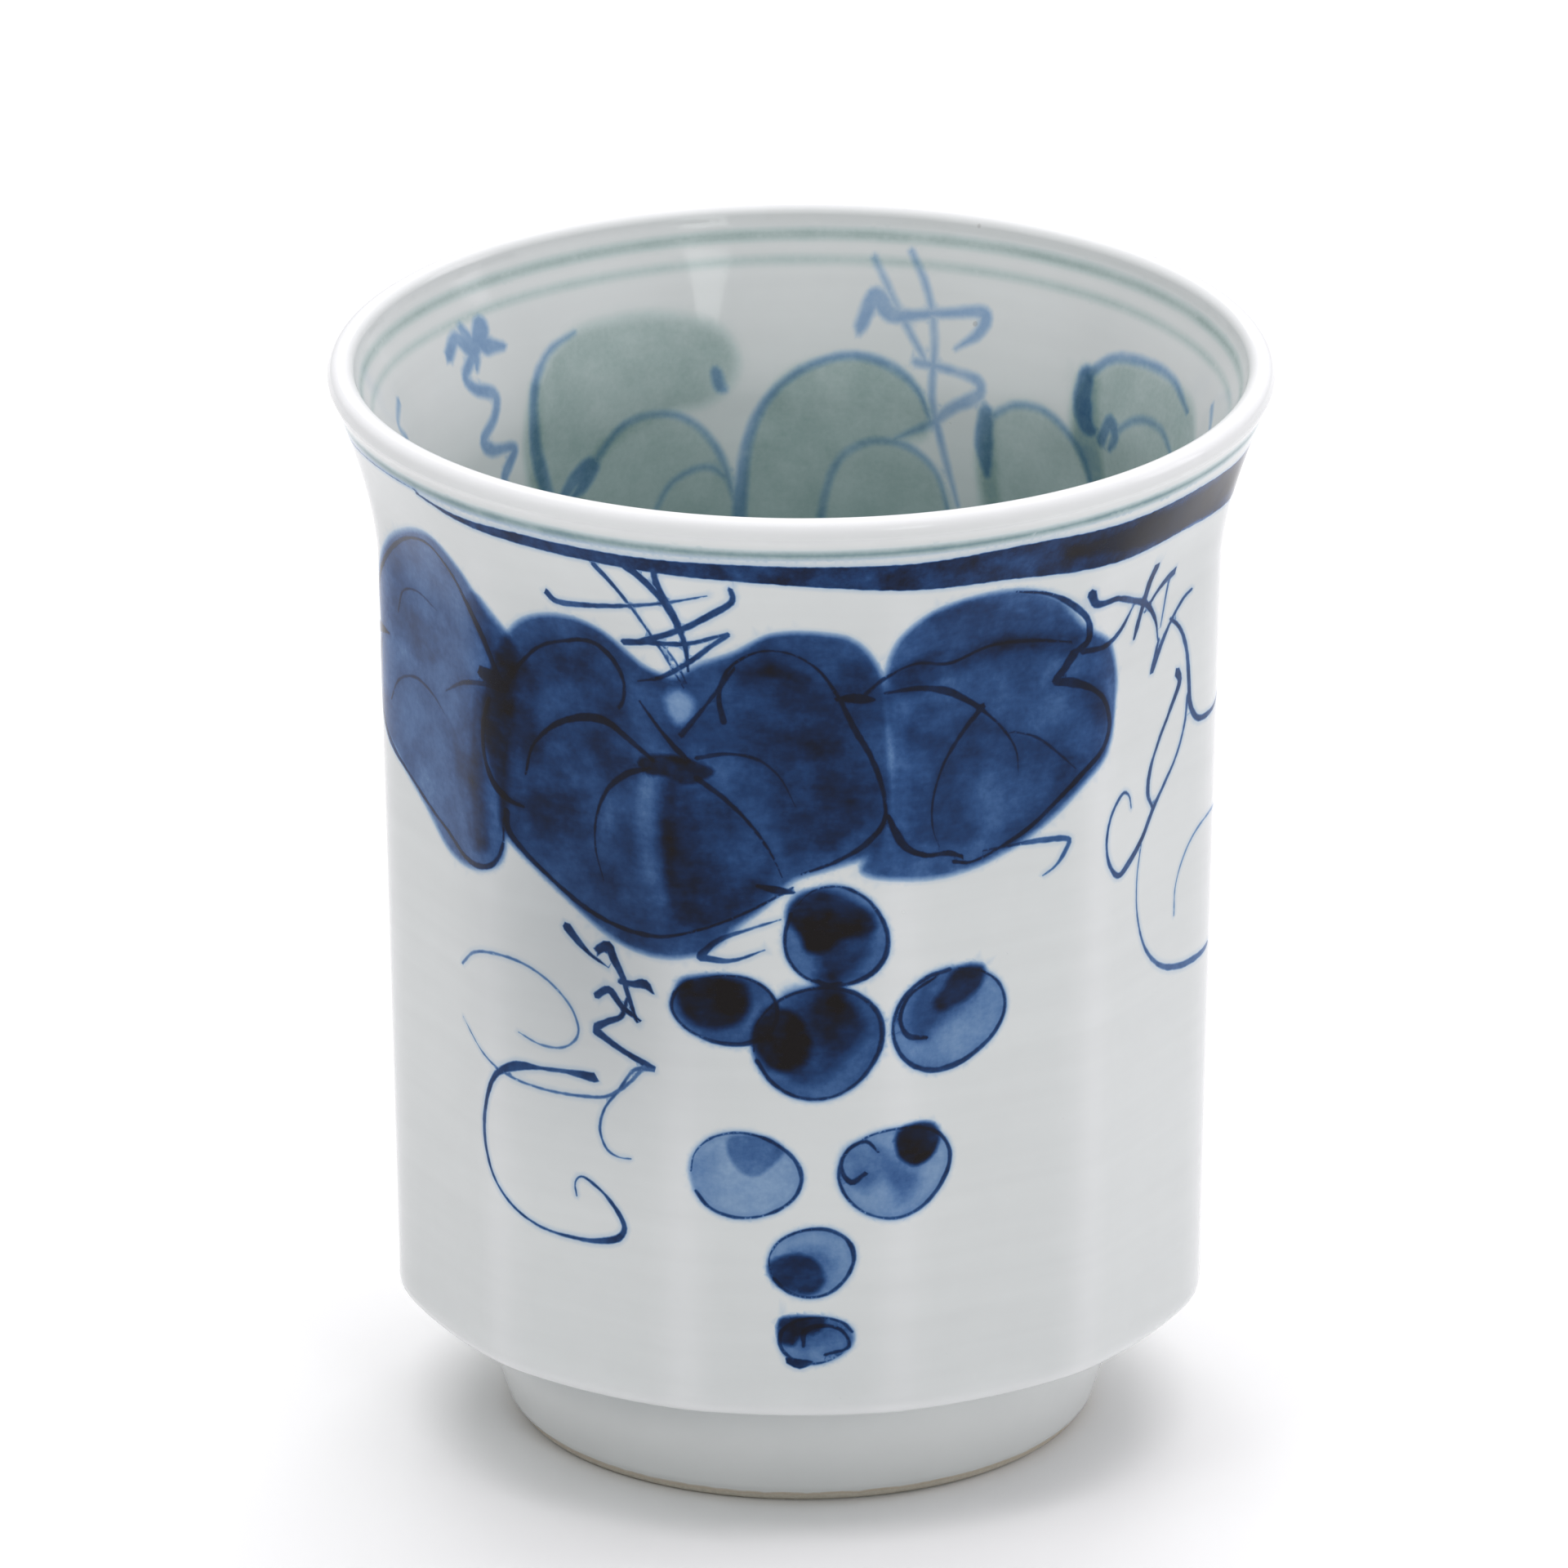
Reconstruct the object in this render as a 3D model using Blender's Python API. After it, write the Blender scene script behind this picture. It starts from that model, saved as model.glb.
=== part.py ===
"""A handleless porcelain teacup: a faceted cup body with a flared round lip, on a tall foot ring.

Metres, +Z up. The origin is the middle of the circle that the foot stands on.
"""

import math

import bmesh
import bpy

MM = 0.001

# Overall sizes.
RIM_DIAMETER = 72.0 * MM
CUP_HEIGHT = 85.0 * MM

# Lip and flare. The flare runs from the middle of the lip down to the neck.
LIP_THICKNESS = 2.1 * MM
FLARE_DEPTH = 12.7 * MM
FLARE_OVERHANG = 3.2 * MM
FLARE_CURVE = 1.6

# Wall and floor. The wall narrows by the taper from the neck down to the heel.
WALL_THICKNESS = 3.0 * MM
WALL_TAPER = 1.4 * MM
FLOOR_THICKNESS = 4.6 * MM
INNER_CORNER_RADIUS = 9.0 * MM
HEEL_RADIUS = 2.0 * MM

# Facets cut round the wall.
FACET_COUNT = 12
FIRST_RIDGE_ANGLE = math.radians(13.5)
FACET_SHARPNESS = 60
INNER_FACET_SHARE = 0.6

# Foot ring. The heel overhangs it, and its outer side narrows downwards.
FOOT_HEIGHT = 10.4 * MM
FOOT_SETBACK = 6.0 * MM
FOOT_OUTER_TAPER = 3.2 * MM
FOOT_WALL = 5.0 * MM
FOOT_INNER_TAPER = 1.6 * MM
FOOT_EDGE_RADIUS = 1.1 * MM

# The layer of slip that luts the foot ring to the cup body.
SLIP_JOINT = 0.3 * MM

# How finely the curves are divided.
SEGMENTS = 6 * FACET_COUNT
ARC_STEPS = 4
CORNER_STEPS = 6
WALL_STEPS = 6
FLARE_STEPS = 7
MERGE_DISTANCE = 0.01 * MM
SHARP_EDGE = math.radians(40)
QUARTER_TURN = math.radians(90)

LIP_RADIUS = LIP_THICKNESS / 2
LIP_CENTRE_HEIGHT = CUP_HEIGHT - LIP_RADIUS
NECK_HEIGHT = LIP_CENTRE_HEIGHT - FLARE_DEPTH
NECK_RADIUS = RIM_DIAMETER / 2 - FLARE_OVERHANG
BASE_RADIUS = NECK_RADIUS - WALL_TAPER
FLOOR_HEIGHT = FOOT_HEIGHT + FLOOR_THICKNESS
FOOT_TOP_RADIUS = BASE_RADIUS - FOOT_SETBACK


def smooth_step(share):
    """A share from 0 to 1, eased at both ends."""
    return share * share * (3 - 2 * share)


def flare_share(height):
    """How far up the flare a height lies: 0 at the neck and below, 1 at the middle of the lip."""
    return min(max((height - NECK_HEIGHT) / FLARE_DEPTH, 0.0), 1.0)


def outer_radius(height):
    """Radius of the outside over a ridge, between the heel and the lip."""
    wall_share = (min(height, NECK_HEIGHT) - FOOT_HEIGHT) / (NECK_HEIGHT - FOOT_HEIGHT)
    return BASE_RADIUS + WALL_TAPER * wall_share + FLARE_OVERHANG * flare_share(height) ** FLARE_CURVE


def inner_radius(height):
    """Radius of the inside, one wall in from the outside and one lip in from the rim."""
    thickness = WALL_THICKNESS + (LIP_THICKNESS - WALL_THICKNESS) * flare_share(height)
    return outer_radius(height) - thickness


def facet_strength(height):
    """How deep the facets are at a height: full on the wall, and none on the round lip."""
    return 1.0 - smooth_step(flare_share(height))


def facet_scale(angle):
    """Radius at an angle against the radius over a ridge, for a polygon with softly rounded ridges."""
    pitch = 2 * math.pi / FACET_COUNT
    from_ridge = (angle - FIRST_RIDGE_ANGLE) % pitch
    total = 0.0
    for middle in (-0.5, 0.5, 1.5):
        total += math.cos(from_ridge - middle * pitch) ** FACET_SHARPNESS
    over_ridge = 2 * math.cos(pitch / 2) ** FACET_SHARPNESS
    return (over_ridge / total) ** (1 / FACET_SHARPNESS)


def steps(start, end, count):
    """Evenly spaced values from start to end, both included."""
    return [start + (end - start) * i / count for i in range(count + 1)]


def arc(centre, radius, start, end, count):
    """Points (radius, height) on an arc, by angle from the outward direction."""
    across, up = centre
    return [(across + radius * math.cos(a), up + radius * math.sin(a)) for a in steps(start, end, count)]


def body_profile():
    """Points (radius, height, facet strength), from under the floor, up the outside and down the inside."""
    heel_centre = (BASE_RADIUS - HEEL_RADIUS, FOOT_HEIGHT + HEEL_RADIUS)
    lip_centre = (RIM_DIAMETER / 2 - LIP_RADIUS, LIP_CENTRE_HEIGHT)
    corner_height = FLOOR_HEIGHT + INNER_CORNER_RADIUS
    corner_centre = (inner_radius(corner_height) - INNER_CORNER_RADIUS, corner_height)

    heel = arc(heel_centre, HEEL_RADIUS, -QUARTER_TURN, 0, ARC_STEPS)
    lip = arc(lip_centre, LIP_RADIUS, 0, 2 * QUARTER_TURN, 2 * ARC_STEPS)
    corner = arc(corner_centre, INNER_CORNER_RADIUS, 0, -QUARTER_TURN, CORNER_STEPS)
    outer_heights = steps(heel_centre[1], NECK_HEIGHT, WALL_STEPS)[1:]
    outer_heights += steps(NECK_HEIGHT, LIP_CENTRE_HEIGHT, FLARE_STEPS)[1:-1]
    inner_heights = steps(LIP_CENTRE_HEIGHT, NECK_HEIGHT, FLARE_STEPS)[1:]
    inner_heights += steps(NECK_HEIGHT, corner_height, WALL_STEPS)[1:-1]

    points = [(0.0, FOOT_HEIGHT, 0.0), (FOOT_TOP_RADIUS - FOOT_WALL, FOOT_HEIGHT, 0.0)]
    points += [(r, z, i / ARC_STEPS) for i, (r, z) in enumerate(heel)]
    points += [(outer_radius(z), z, facet_strength(z)) for z in outer_heights]
    points += [(r, z, 0.0) for r, z in lip]
    points += [(inner_radius(z), z, INNER_FACET_SHARE * facet_strength(z)) for z in inner_heights]
    points += [(r, z, INNER_FACET_SHARE * (1 - i / CORNER_STEPS)) for i, (r, z) in enumerate(corner)]
    points.append((0.0, FLOOR_HEIGHT, 0.0))
    return points


def foot_profile():
    """Points (radius, height, facet strength) round the foot ring's section, with the first one repeated."""
    top = FOOT_HEIGHT - SLIP_JOINT
    outer_bottom = FOOT_TOP_RADIUS - FOOT_OUTER_TAPER
    inner_top = FOOT_TOP_RADIUS - FOOT_WALL
    inner_bottom = inner_top - FOOT_INNER_TAPER
    edge = FOOT_EDGE_RADIUS
    section = [(inner_top, top)]
    section += arc((inner_bottom + edge, edge), edge, 2 * QUARTER_TURN, 3 * QUARTER_TURN, ARC_STEPS)
    section += arc((outer_bottom - edge, edge), edge, -QUARTER_TURN, 0, ARC_STEPS)
    section += [(FOOT_TOP_RADIUS, top), (inner_top, top)]
    return [(r, z, 0.0) for r, z in section]


def turned_mesh(name, profile):
    """A mesh turned from a profile about +Z, then faceted as its strengths say."""
    mesh = bpy.data.meshes.new(name)
    shape = bmesh.new()
    strength = shape.verts.layers.float.new("facet_strength")
    previous = None
    for radius, height, facets in profile:
        point = shape.verts.new((radius, 0.0, height))
        point[strength] = facets
        if previous is not None:
            shape.edges.new((previous, point))
        previous = point
    bmesh.ops.spin(
        shape, geom=shape.verts[:] + shape.edges[:], axis=(0, 0, 1), cent=(0, 0, 0),
        angle=2 * math.pi, steps=SEGMENTS, use_merge=True,
    )
    bmesh.ops.remove_doubles(shape, verts=shape.verts, dist=MERGE_DISTANCE)
    for point in shape.verts:
        angle = math.atan2(point.co.y, point.co.x)
        scale = 1 + point[strength] * (facet_scale(angle) - 1)
        point.co.x *= scale
        point.co.y *= scale
    bmesh.ops.recalc_face_normals(shape, faces=shape.faces)
    shape.verts.layers.float.remove(strength)
    shape.to_mesh(mesh)
    shape.free()
    mesh.shade_smooth()
    mesh.set_sharp_from_angle(angle=SHARP_EDGE)
    return mesh


def porcelain(name, colour, roughness):
    """A Principled material for fired porcelain."""
    material = bpy.data.materials.new(name)
    material.use_nodes = True
    shader = material.node_tree.nodes["Principled BSDF"]
    shader.inputs["Base Color"].default_value = (*colour, 1.0)
    shader.inputs["Roughness"].default_value = roughness
    shader.inputs["Metallic"].default_value = 0.0
    return material


def add_piece(name, mesh, material):
    """Puts one piece of the cup in the scene."""
    mesh.materials.append(material)
    piece = bpy.data.objects.new(name, mesh)
    bpy.context.scene.collection.objects.link(piece)
    return piece


def main():
    for old in list(bpy.data.objects):
        bpy.data.objects.remove(old, do_unlink=True)
    glaze = porcelain("glazed_porcelain", (0.74, 0.77, 0.79), 0.10)
    foot_glaze = porcelain("glazed_foot", (0.66, 0.69, 0.72), 0.16)
    add_piece("cup_body", turned_mesh("cup_body", body_profile()), glaze)
    add_piece("foot_ring", turned_mesh("foot_ring", foot_profile()), foot_glaze)


main()
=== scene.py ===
"""Looks of the porcelain teacup: glaze, cobalt vine painting, bare foot edge, and the studio round it.

The cup is turned about +Z with its main painted side towards -Y. Sizes of the cup and of the brushwork are in
millimetres, and meshes, lamps and the camera are in metres. Angles on the cup's outside are degrees from the
front, growing to the right as the drinker sees it.
"""

import logging
import math
from dataclasses import dataclass, field, replace
from enum import Enum
from typing import Any, Callable, Sequence

import bpy
import numpy as np
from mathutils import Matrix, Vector
from mathutils.geometry import delaunay_2d_cdt


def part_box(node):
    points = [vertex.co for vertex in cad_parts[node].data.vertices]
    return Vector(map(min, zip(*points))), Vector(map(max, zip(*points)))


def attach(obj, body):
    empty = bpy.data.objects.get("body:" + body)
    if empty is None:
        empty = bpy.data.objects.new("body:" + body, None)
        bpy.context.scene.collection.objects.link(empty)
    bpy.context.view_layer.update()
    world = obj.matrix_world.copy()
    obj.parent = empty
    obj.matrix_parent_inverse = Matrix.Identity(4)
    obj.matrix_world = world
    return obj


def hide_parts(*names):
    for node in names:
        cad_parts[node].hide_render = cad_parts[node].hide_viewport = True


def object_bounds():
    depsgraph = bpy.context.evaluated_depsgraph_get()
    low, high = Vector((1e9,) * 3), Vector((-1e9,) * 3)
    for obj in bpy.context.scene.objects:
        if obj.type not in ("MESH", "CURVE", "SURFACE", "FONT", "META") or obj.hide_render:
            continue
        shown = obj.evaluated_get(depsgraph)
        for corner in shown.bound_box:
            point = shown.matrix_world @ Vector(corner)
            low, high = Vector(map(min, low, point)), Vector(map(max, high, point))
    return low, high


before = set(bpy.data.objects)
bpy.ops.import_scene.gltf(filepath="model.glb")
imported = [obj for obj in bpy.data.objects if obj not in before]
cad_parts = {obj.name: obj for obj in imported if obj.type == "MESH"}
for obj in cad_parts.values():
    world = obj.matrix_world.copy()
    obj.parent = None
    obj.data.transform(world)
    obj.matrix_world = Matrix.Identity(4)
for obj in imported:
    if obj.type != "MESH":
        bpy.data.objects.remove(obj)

CAD_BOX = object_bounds()
MM = 0.001
BODY = "root"
Path = tuple[tuple[float, float], ...]
Colour = tuple[float, float, float]
Stops = tuple[tuple[float, Colour], ...]

logging.basicConfig(level=logging.INFO, format="%(message)s")
log = logging.getLogger("teacup")


def eased(share: np.ndarray) -> np.ndarray:
    """A share held between 0 and 1 and eased at both ends."""
    share = np.clip(share, 0.0, 1.0)
    return share * share * (3.0 - 2.0 * share)


# ---- the cup's form


@dataclass(frozen=True)
class CupForm:
    """Sizes of the cup in millimetres, the ones that the solids were turned to."""

    rim_radius: float
    height: float
    foot_height: float
    lip_thickness: float = 2.1
    flare_depth: float = 12.7
    flare_overhang: float = 3.2
    flare_curve: float = 1.6
    wall: float = 3.0
    wall_taper: float = 1.4
    floor: float = 4.6
    inner_corner: float = 9.0
    heel: float = 2.0
    facets: int = 12
    first_ridge_deg: float = 103.5
    facet_sharpness: float = 60.0
    inner_facet_share: float = 0.6
    foot_setback: float = 6.0
    foot_outer_taper: float = 3.2
    foot_wall: float = 5.0
    foot_inner_taper: float = 1.6
    foot_edge: float = 1.1
    foot_let_in: float = 0.15

    @property
    def lip_centre_height(self) -> float:
        """Height of the middle of the round lip."""
        return self.height - self.lip_thickness / 2

    @property
    def neck_height(self) -> float:
        """Height where the flare starts."""
        return self.lip_centre_height - self.flare_depth

    @property
    def base_radius(self) -> float:
        """Radius over a ridge at the bottom of the wall."""
        return self.rim_radius - self.flare_overhang - self.wall_taper

    @property
    def floor_height(self) -> float:
        """Height of the floor inside."""
        return self.foot_height + self.floor

    def flare_share(self, height: np.ndarray) -> np.ndarray:
        """How far up the flare each height lies.

        Args:
            height: Heights in millimetres.

        Returns:
            0 at the neck and below, 1 at the middle of the lip.
        """
        return np.clip((height - self.neck_height) / self.flare_depth, 0.0, 1.0)

    def outer_radius(self, height: np.ndarray) -> np.ndarray:
        """Radius of the outside over a ridge.

        Args:
            height: Heights in millimetres, between the heel and the lip.

        Returns:
            Radii in millimetres.
        """
        wall_height = self.neck_height - self.foot_height
        up_wall = (np.minimum(height, self.neck_height) - self.foot_height) / wall_height
        flare = self.flare_overhang * self.flare_share(height) ** self.flare_curve
        return self.base_radius + self.wall_taper * up_wall + flare

    def inner_radius(self, height: np.ndarray) -> np.ndarray:
        """Radius of the inside over a ridge.

        Args:
            height: Heights in millimetres.

        Returns:
            Radii in millimetres.
        """
        thickness = self.wall + (self.lip_thickness - self.wall) * self.flare_share(height)
        return self.outer_radius(height) - thickness

    def facet_strength(self, height: np.ndarray) -> np.ndarray:
        """How deep the facets are.

        Args:
            height: Heights in millimetres.

        Returns:
            1 on the wall, easing to 0 at the round lip.
        """
        return 1.0 - eased(self.flare_share(height))

    def facet_scale(self, degrees: np.ndarray) -> np.ndarray:
        """Radius against the radius over a ridge.

        Args:
            degrees: Angles from the front.

        Returns:
            A share, 1 over a ridge and a little less in the middle of a facet.
        """
        pitch = 2 * math.pi / self.facets
        from_ridge = np.mod(np.radians(degrees - self.first_ridge_deg), pitch)
        facet_middles = (-0.5 * pitch, 0.5 * pitch, 1.5 * pitch)
        total = sum(np.cos(from_ridge - middle) ** self.facet_sharpness for middle in facet_middles)
        over_ridge = 2 * math.cos(pitch / 2) ** self.facet_sharpness
        return (over_ridge / total) ** (1 / self.facet_sharpness)


class Zone(Enum):
    """Stretches of the cup's section, in the order of a walk from under the floor to the inside."""

    UNDERSIDE = "underside"
    HEEL = "heel"
    WALL = "wall"
    LIP = "lip"
    INSIDE = "inside"
    CORNER = "corner"
    FLOOR = "floor"


@dataclass(frozen=True)
class Section:
    """A finely stepped profile with the slopes that smooth shading needs."""

    radius: np.ndarray
    height: np.ndarray
    facets: np.ndarray

    @property
    def length(self) -> np.ndarray:
        """Distance walked along the profile at each point."""
        steps = np.hypot(np.diff(self.radius), np.diff(self.height))
        return np.concatenate([[0.0], np.cumsum(steps)])

    def surface(
        self, form: CupForm, degrees: np.ndarray, walked: np.ndarray
    ) -> tuple[np.ndarray, np.ndarray]:
        """Points and outward normals of the turned and faceted surface.

        Args:
            form: The cup's sizes.
            degrees: Angle of each point from the front.
            walked: Distance of each point along the profile.

        Returns:
            Points in metres and unit normals, one row each.
        """
        length = self.length
        columns = (self.radius, self.height, self.facets)
        radius, height, facets = (np.interp(walked, length, column) for column in columns)
        radius_slope, height_slope, facets_slope = (
            np.interp(walked, length, np.gradient(column, length)) for column in columns
        )
        turn = np.radians(degrees)
        step = 0.05
        scale = form.facet_scale(degrees) - 1
        scale_change = form.facet_scale(degrees + step) - form.facet_scale(degrees - step)
        scale_slope = scale_change / math.radians(2 * step)
        wide = radius * (1 + facets * scale)
        wide_along = radius_slope * (1 + facets * scale) + radius * facets_slope * scale
        wide_round = radius * facets * scale_slope
        out = np.stack([np.sin(turn), -np.cos(turn), np.zeros_like(turn)], axis=-1)
        side = np.stack([np.cos(turn), np.sin(turn), np.zeros_like(turn)], axis=-1)
        up = np.array([0.0, 0.0, 1.0])
        along = out * wide_along[:, None] + up * height_slope[:, None]
        around = out * wide_round[:, None] + side * np.maximum(wide, 1e-6)[:, None]
        normal = np.cross(around, along)
        normal /= np.maximum(np.linalg.norm(normal, axis=1), 1e-12)[:, None]
        points = (out * wide[:, None] + up * height[:, None]) * MM
        return points, normal


def arc(
    centre: tuple[float, float], radius: float, start_deg: float, end_deg: float, count: int = 33
) -> np.ndarray:
    """Points on an arc of a section.

    Args:
        centre: Distance from the axis and height of the arc's centre.
        radius: The arc's radius.
        start_deg: First angle, from the outward direction.
        end_deg: Last angle.
        count: Number of points.

    Returns:
        Rows of distance from the axis and height.
    """
    turn = np.radians(np.linspace(start_deg, end_deg, count))
    return np.stack([centre[0] + radius * np.cos(turn), centre[1] + radius * np.sin(turn)], axis=-1)


# ---- brushwork


@dataclass(frozen=True)
class Line:
    """One pull of a loaded brush: its path, its widths from start to end, and how deep the cobalt is."""

    path: Path
    widths: tuple[float, ...] = (0.6,)
    tone: float = 0.8


@dataclass(frozen=True)
class Wash:
    """Thinned cobalt filled inside a closed path, soft at its edge. A negative tone makes it lighter, a
    painted highlight of the glaze.
    """

    path: Path
    tone: float = 0.5
    softness: float = 0.7


@dataclass(frozen=True)
class Sweep:
    """Thinned cobalt laid with one pull of a wide brush. A negative tone makes it lighter, a painted
    highlight of the glaze.
    """

    path: Path
    widths: tuple[float, ...] = (2.0,)
    tone: float = 0.5
    softness: float = 0.6


Mark = Line | Wash | Sweep


@dataclass
class Painting:
    """Everything that the brush leaves on one face of the wall."""

    marks: list[Mark] = field(default_factory=list)

    def redrawn(self, place: Callable[[float, float], tuple[float, float]]) -> "Painting":
        """The same brushwork with every point put elsewhere.

        Args:
            place: Gives a point's new angle and height from its old ones.

        Returns:
            A new painting.
        """
        moved = [tuple(place(turn, height) for turn, height in mark.path) for mark in self.marks]
        return Painting([replace(mark, path=path) for mark, path in zip(self.marks, moved)])

    def moved(self, turn_deg: float, lift: float, size: float, mirrored: bool) -> "Painting":
        """The same brushwork at another place.

        Args:
            turn_deg: Where the drawing's front middle goes.
            lift: How far up it goes.
            size: How large it is painted, against the first one.
            mirrored: Whether left and right change places.

        Returns:
            A new painting.
        """
        hand = -size if mirrored else size
        middle = 60.0

        def place(turn: float, height: float) -> tuple[float, float]:
            """Where a point goes, growing or shrinking about the middle height."""
            return turn_deg + hand * turn, middle + (height - middle) * size + lift

        return self.redrawn(place)

    def from_far_wall(self) -> "Painting":
        """Brushwork drawn on the far wall as seen from the front, turned to angles from the front."""
        return self.redrawn(lambda turn, height: (180.0 - turn, height))


def full_turn() -> list[float]:
    """Angles right round the wall, stopping just short so that the soft ends of a stroke meet once."""
    first, turned, steps = -179.45, 358.9, 24
    return [first + turned * i / steps for i in range(steps + 1)]


@dataclass(frozen=True)
class Grape:
    """One berry. Its dark spot, shade and inner stroke are in shares of its half sizes, from its middle."""

    middle: tuple[float, float]
    half: tuple[float, float]
    tone: float
    dark: Path
    dark_tone: float = 0.85
    dark_softness: float = 0.8
    shade: Path = ()
    shade_tone: float = 0.3
    inner: Path = ()
    outline: float = 0.7
    start_deg: float = 130.0
    sweep_deg: float = 350.0

    def placed(self, path: Path) -> Path:
        """A path in shares of the half sizes, put on the wall."""
        (turn, height), (wide, tall) = self.middle, self.half
        return tuple((turn + a * wide, height + z * tall) for a, z in path)

    def rim(self, size: float, start: float, sweep: float, count: int) -> Path:
        """A slightly uneven oval round the berry.

        Args:
            size: Its size against the berry's.
            start: Angle where the brush is set down.
            sweep: How far round it goes.
            count: Number of points.

        Returns:
            The path.
        """
        lean = self.middle[0] + self.middle[1]
        path = []
        for i in range(count):
            turn = math.radians(start + sweep * i / (count - 1))
            uneven = size * (1 + 0.05 * math.sin(2 * turn + lean) + 0.03 * math.sin(3 * turn + 2 * lean))
            path.append((uneven * math.cos(turn), uneven * math.sin(turn)))
        return self.placed(tuple(path))

    def marks(self) -> list[Mark]:
        """The brushwork of the berry.

        Returns:
            Body wash, shade, dark spot, outline and inner stroke.
        """
        thin = self.outline
        marks: list[Mark] = [Wash(self.rim(0.99, 0, 330, 12), self.tone, 0.6)]
        if self.shade:
            marks.append(Wash(self.placed(self.shade), self.shade_tone, 1.6))
        marks.append(Wash(self.placed(self.dark), self.dark_tone, self.dark_softness))
        widths = (thin, thin * 0.7, thin * 1.2, thin * 0.8, thin * 0.6)
        marks.append(Line(self.rim(0.96, self.start_deg, self.sweep_deg, 14), widths, 0.74))
        if self.inner:
            marks.append(Line(self.placed(self.inner), (0.5, 0.6, 0.7, 1.1), 0.8))
        return marks


class OutsideVine:
    """The painting round the outside: rim band, leaves, a cluster of grapes and tendrils."""

    def rim_band(self) -> list[Mark]:
        """The grey-green hairline under the lip, and one loaded turn of the brush below it.

        Returns:
            The hairline, the band and the darker strokes that thicken it at the right.
        """
        band = (
            (-56, 81.3), (-48, 80.7), (-36, 80.6), (-22, 80.5), (-8, 80.4), (4, 80.1), (16, 79.8), (28, 79.8),
            (38, 79.4), (48, 79.2), (60, 79.2), (72, 78.9), (88, 79.3), (110, 79.7), (140, 80.0), (170, 80.3),
            (205, 80.5), (240, 80.7), (270, 81.0), (296, 81.5), (304, 81.6),
        )
        widths = (
            0.4, 1.5, 1.7, 2.2, 2.8, 3.4, 3.7, 3.8, 4.2, 4.4, 4.4, 4.4, 3.8, 3.3, 2.8, 2.2, 1.9, 1.5, 1.1,
            0.6, 0.3,
        )
        hairline = tuple((turn, 82.3 - 0.2 * math.sin(math.radians(turn + 140))) for turn in full_turn())
        return [
            Sweep(hairline, (0.6, 0.45, 0.7, 0.5, 0.65, 0.6), 0.6, 0.8),
            Line(band, widths, 0.94),
            Line(((34, 79.7), (46, 79.4), (60, 79.3), (76, 79.1), (94, 79.5)), (0.8, 3.0, 3.4, 3.0, 0.8),
                1.2),
            Line(((33, 78.3), (37, 77.9), (42, 77.8)), (0.5, 0.9, 0.5), 0.9),
            Line(((55, 77.6), (62, 77.4), (68, 77.1)), (0.4, 0.7, 0.5), 0.6),
            Line(((80, 77.8), (90, 77.7), (98, 78.1)), (0.4, 0.7, 0.3), 0.6),
            Sweep(((36, 79.6), (50, 79.2), (64, 79.0), (80, 79.2)), (1.0, 2.6, 2.8, 1.4), 0.75, 0.8),
        ]

    def left_leaf(self) -> list[Mark]:
        """The leaf on the left, which runs round out of sight.

        Returns:
            Its washes and lines.
        """
        body = (
            (-57, 77.4), (-51, 75.8), (-46, 73), (-42, 70.8), (-41.5, 66), (-43, 61), (-43.5, 56),
            (-44.6, 53),
            (-50, 51.5), (-57, 51.6), (-64, 54), (-72, 56.8), (-78, 59), (-80, 63), (-77, 66), (-78, 70),
            (-73, 73.6), (-66, 76),
        )
        return [
            Wash(body, 0.55, 0.9),
            Sweep(((-47.6, 66), (-49, 60), (-48.4, 54)), (1.6, 2.2, 1.6), 0.42, 1.1),
            Sweep(((-48, 73), (-44, 70.6), (-41, 69.4)), (2.6, 3.0, 1.8), 0.35),
            Sweep(((-52, 62), (-50, 58), (-49, 54.5)), (4, 5, 3), 0.3, 1.2),
            Sweep(((-72, 68), (-64, 67.5), (-57, 68.5)), (3, 4, 2.5), 0.22, 1.2),
            Line(
                ((-77, 66.2), (-78, 69), (-75, 71.6), (-70, 74), (-64, 75.8), (-58, 76.4), (-53.5, 75),
                (-50, 72.8), (-46.8, 70.6), (-44.5, 68.2)),
                (0.6, 0.9, 0.8, 0.7, 0.5, 0.6, 0.8, 1.2, 1.5), 0.8,
            ),
            Line(((-47.5, 67.9), (-45, 67.6), (-43, 67.2)), (1.5, 2.1, 1.6), 0.95),
            Line(((-43.5, 67.3), (-48, 66.9), (-52, 66.2), (-57, 64.6)), (0.9, 0.8, 0.7, 0.4), 0.7),
            Line(((-79, 65.6), (-76.5, 66), (-73.5, 66.1)), (1.4, 1.2, 0.5), 0.92),
            Line(
                ((-77, 65), (-79, 62), (-78, 59.4), (-74, 57.2), (-68, 55.5), (-62, 54), (-57, 53), (-53, 52),
                (-49.5, 51.8), (-46, 52.5), (-44.2, 54.2), (-44, 56.4)),
                (0.6, 0.7, 0.8, 0.9, 0.6, 0.7, 0.6, 0.8, 0.9, 0.9, 0.6), 0.82,
            ),
            Line(((-70.5, 68.5), (-69, 70.4), (-65, 71.2), (-59, 70.7)), (0.5, 0.4, 0.3), 0.62),
            Line(((-73.5, 60.8), (-71, 62.8), (-66, 64), (-61, 63.6), (-57.5, 62.6)), (0.4, 0.6, 0.4), 0.62),
        ]

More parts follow.
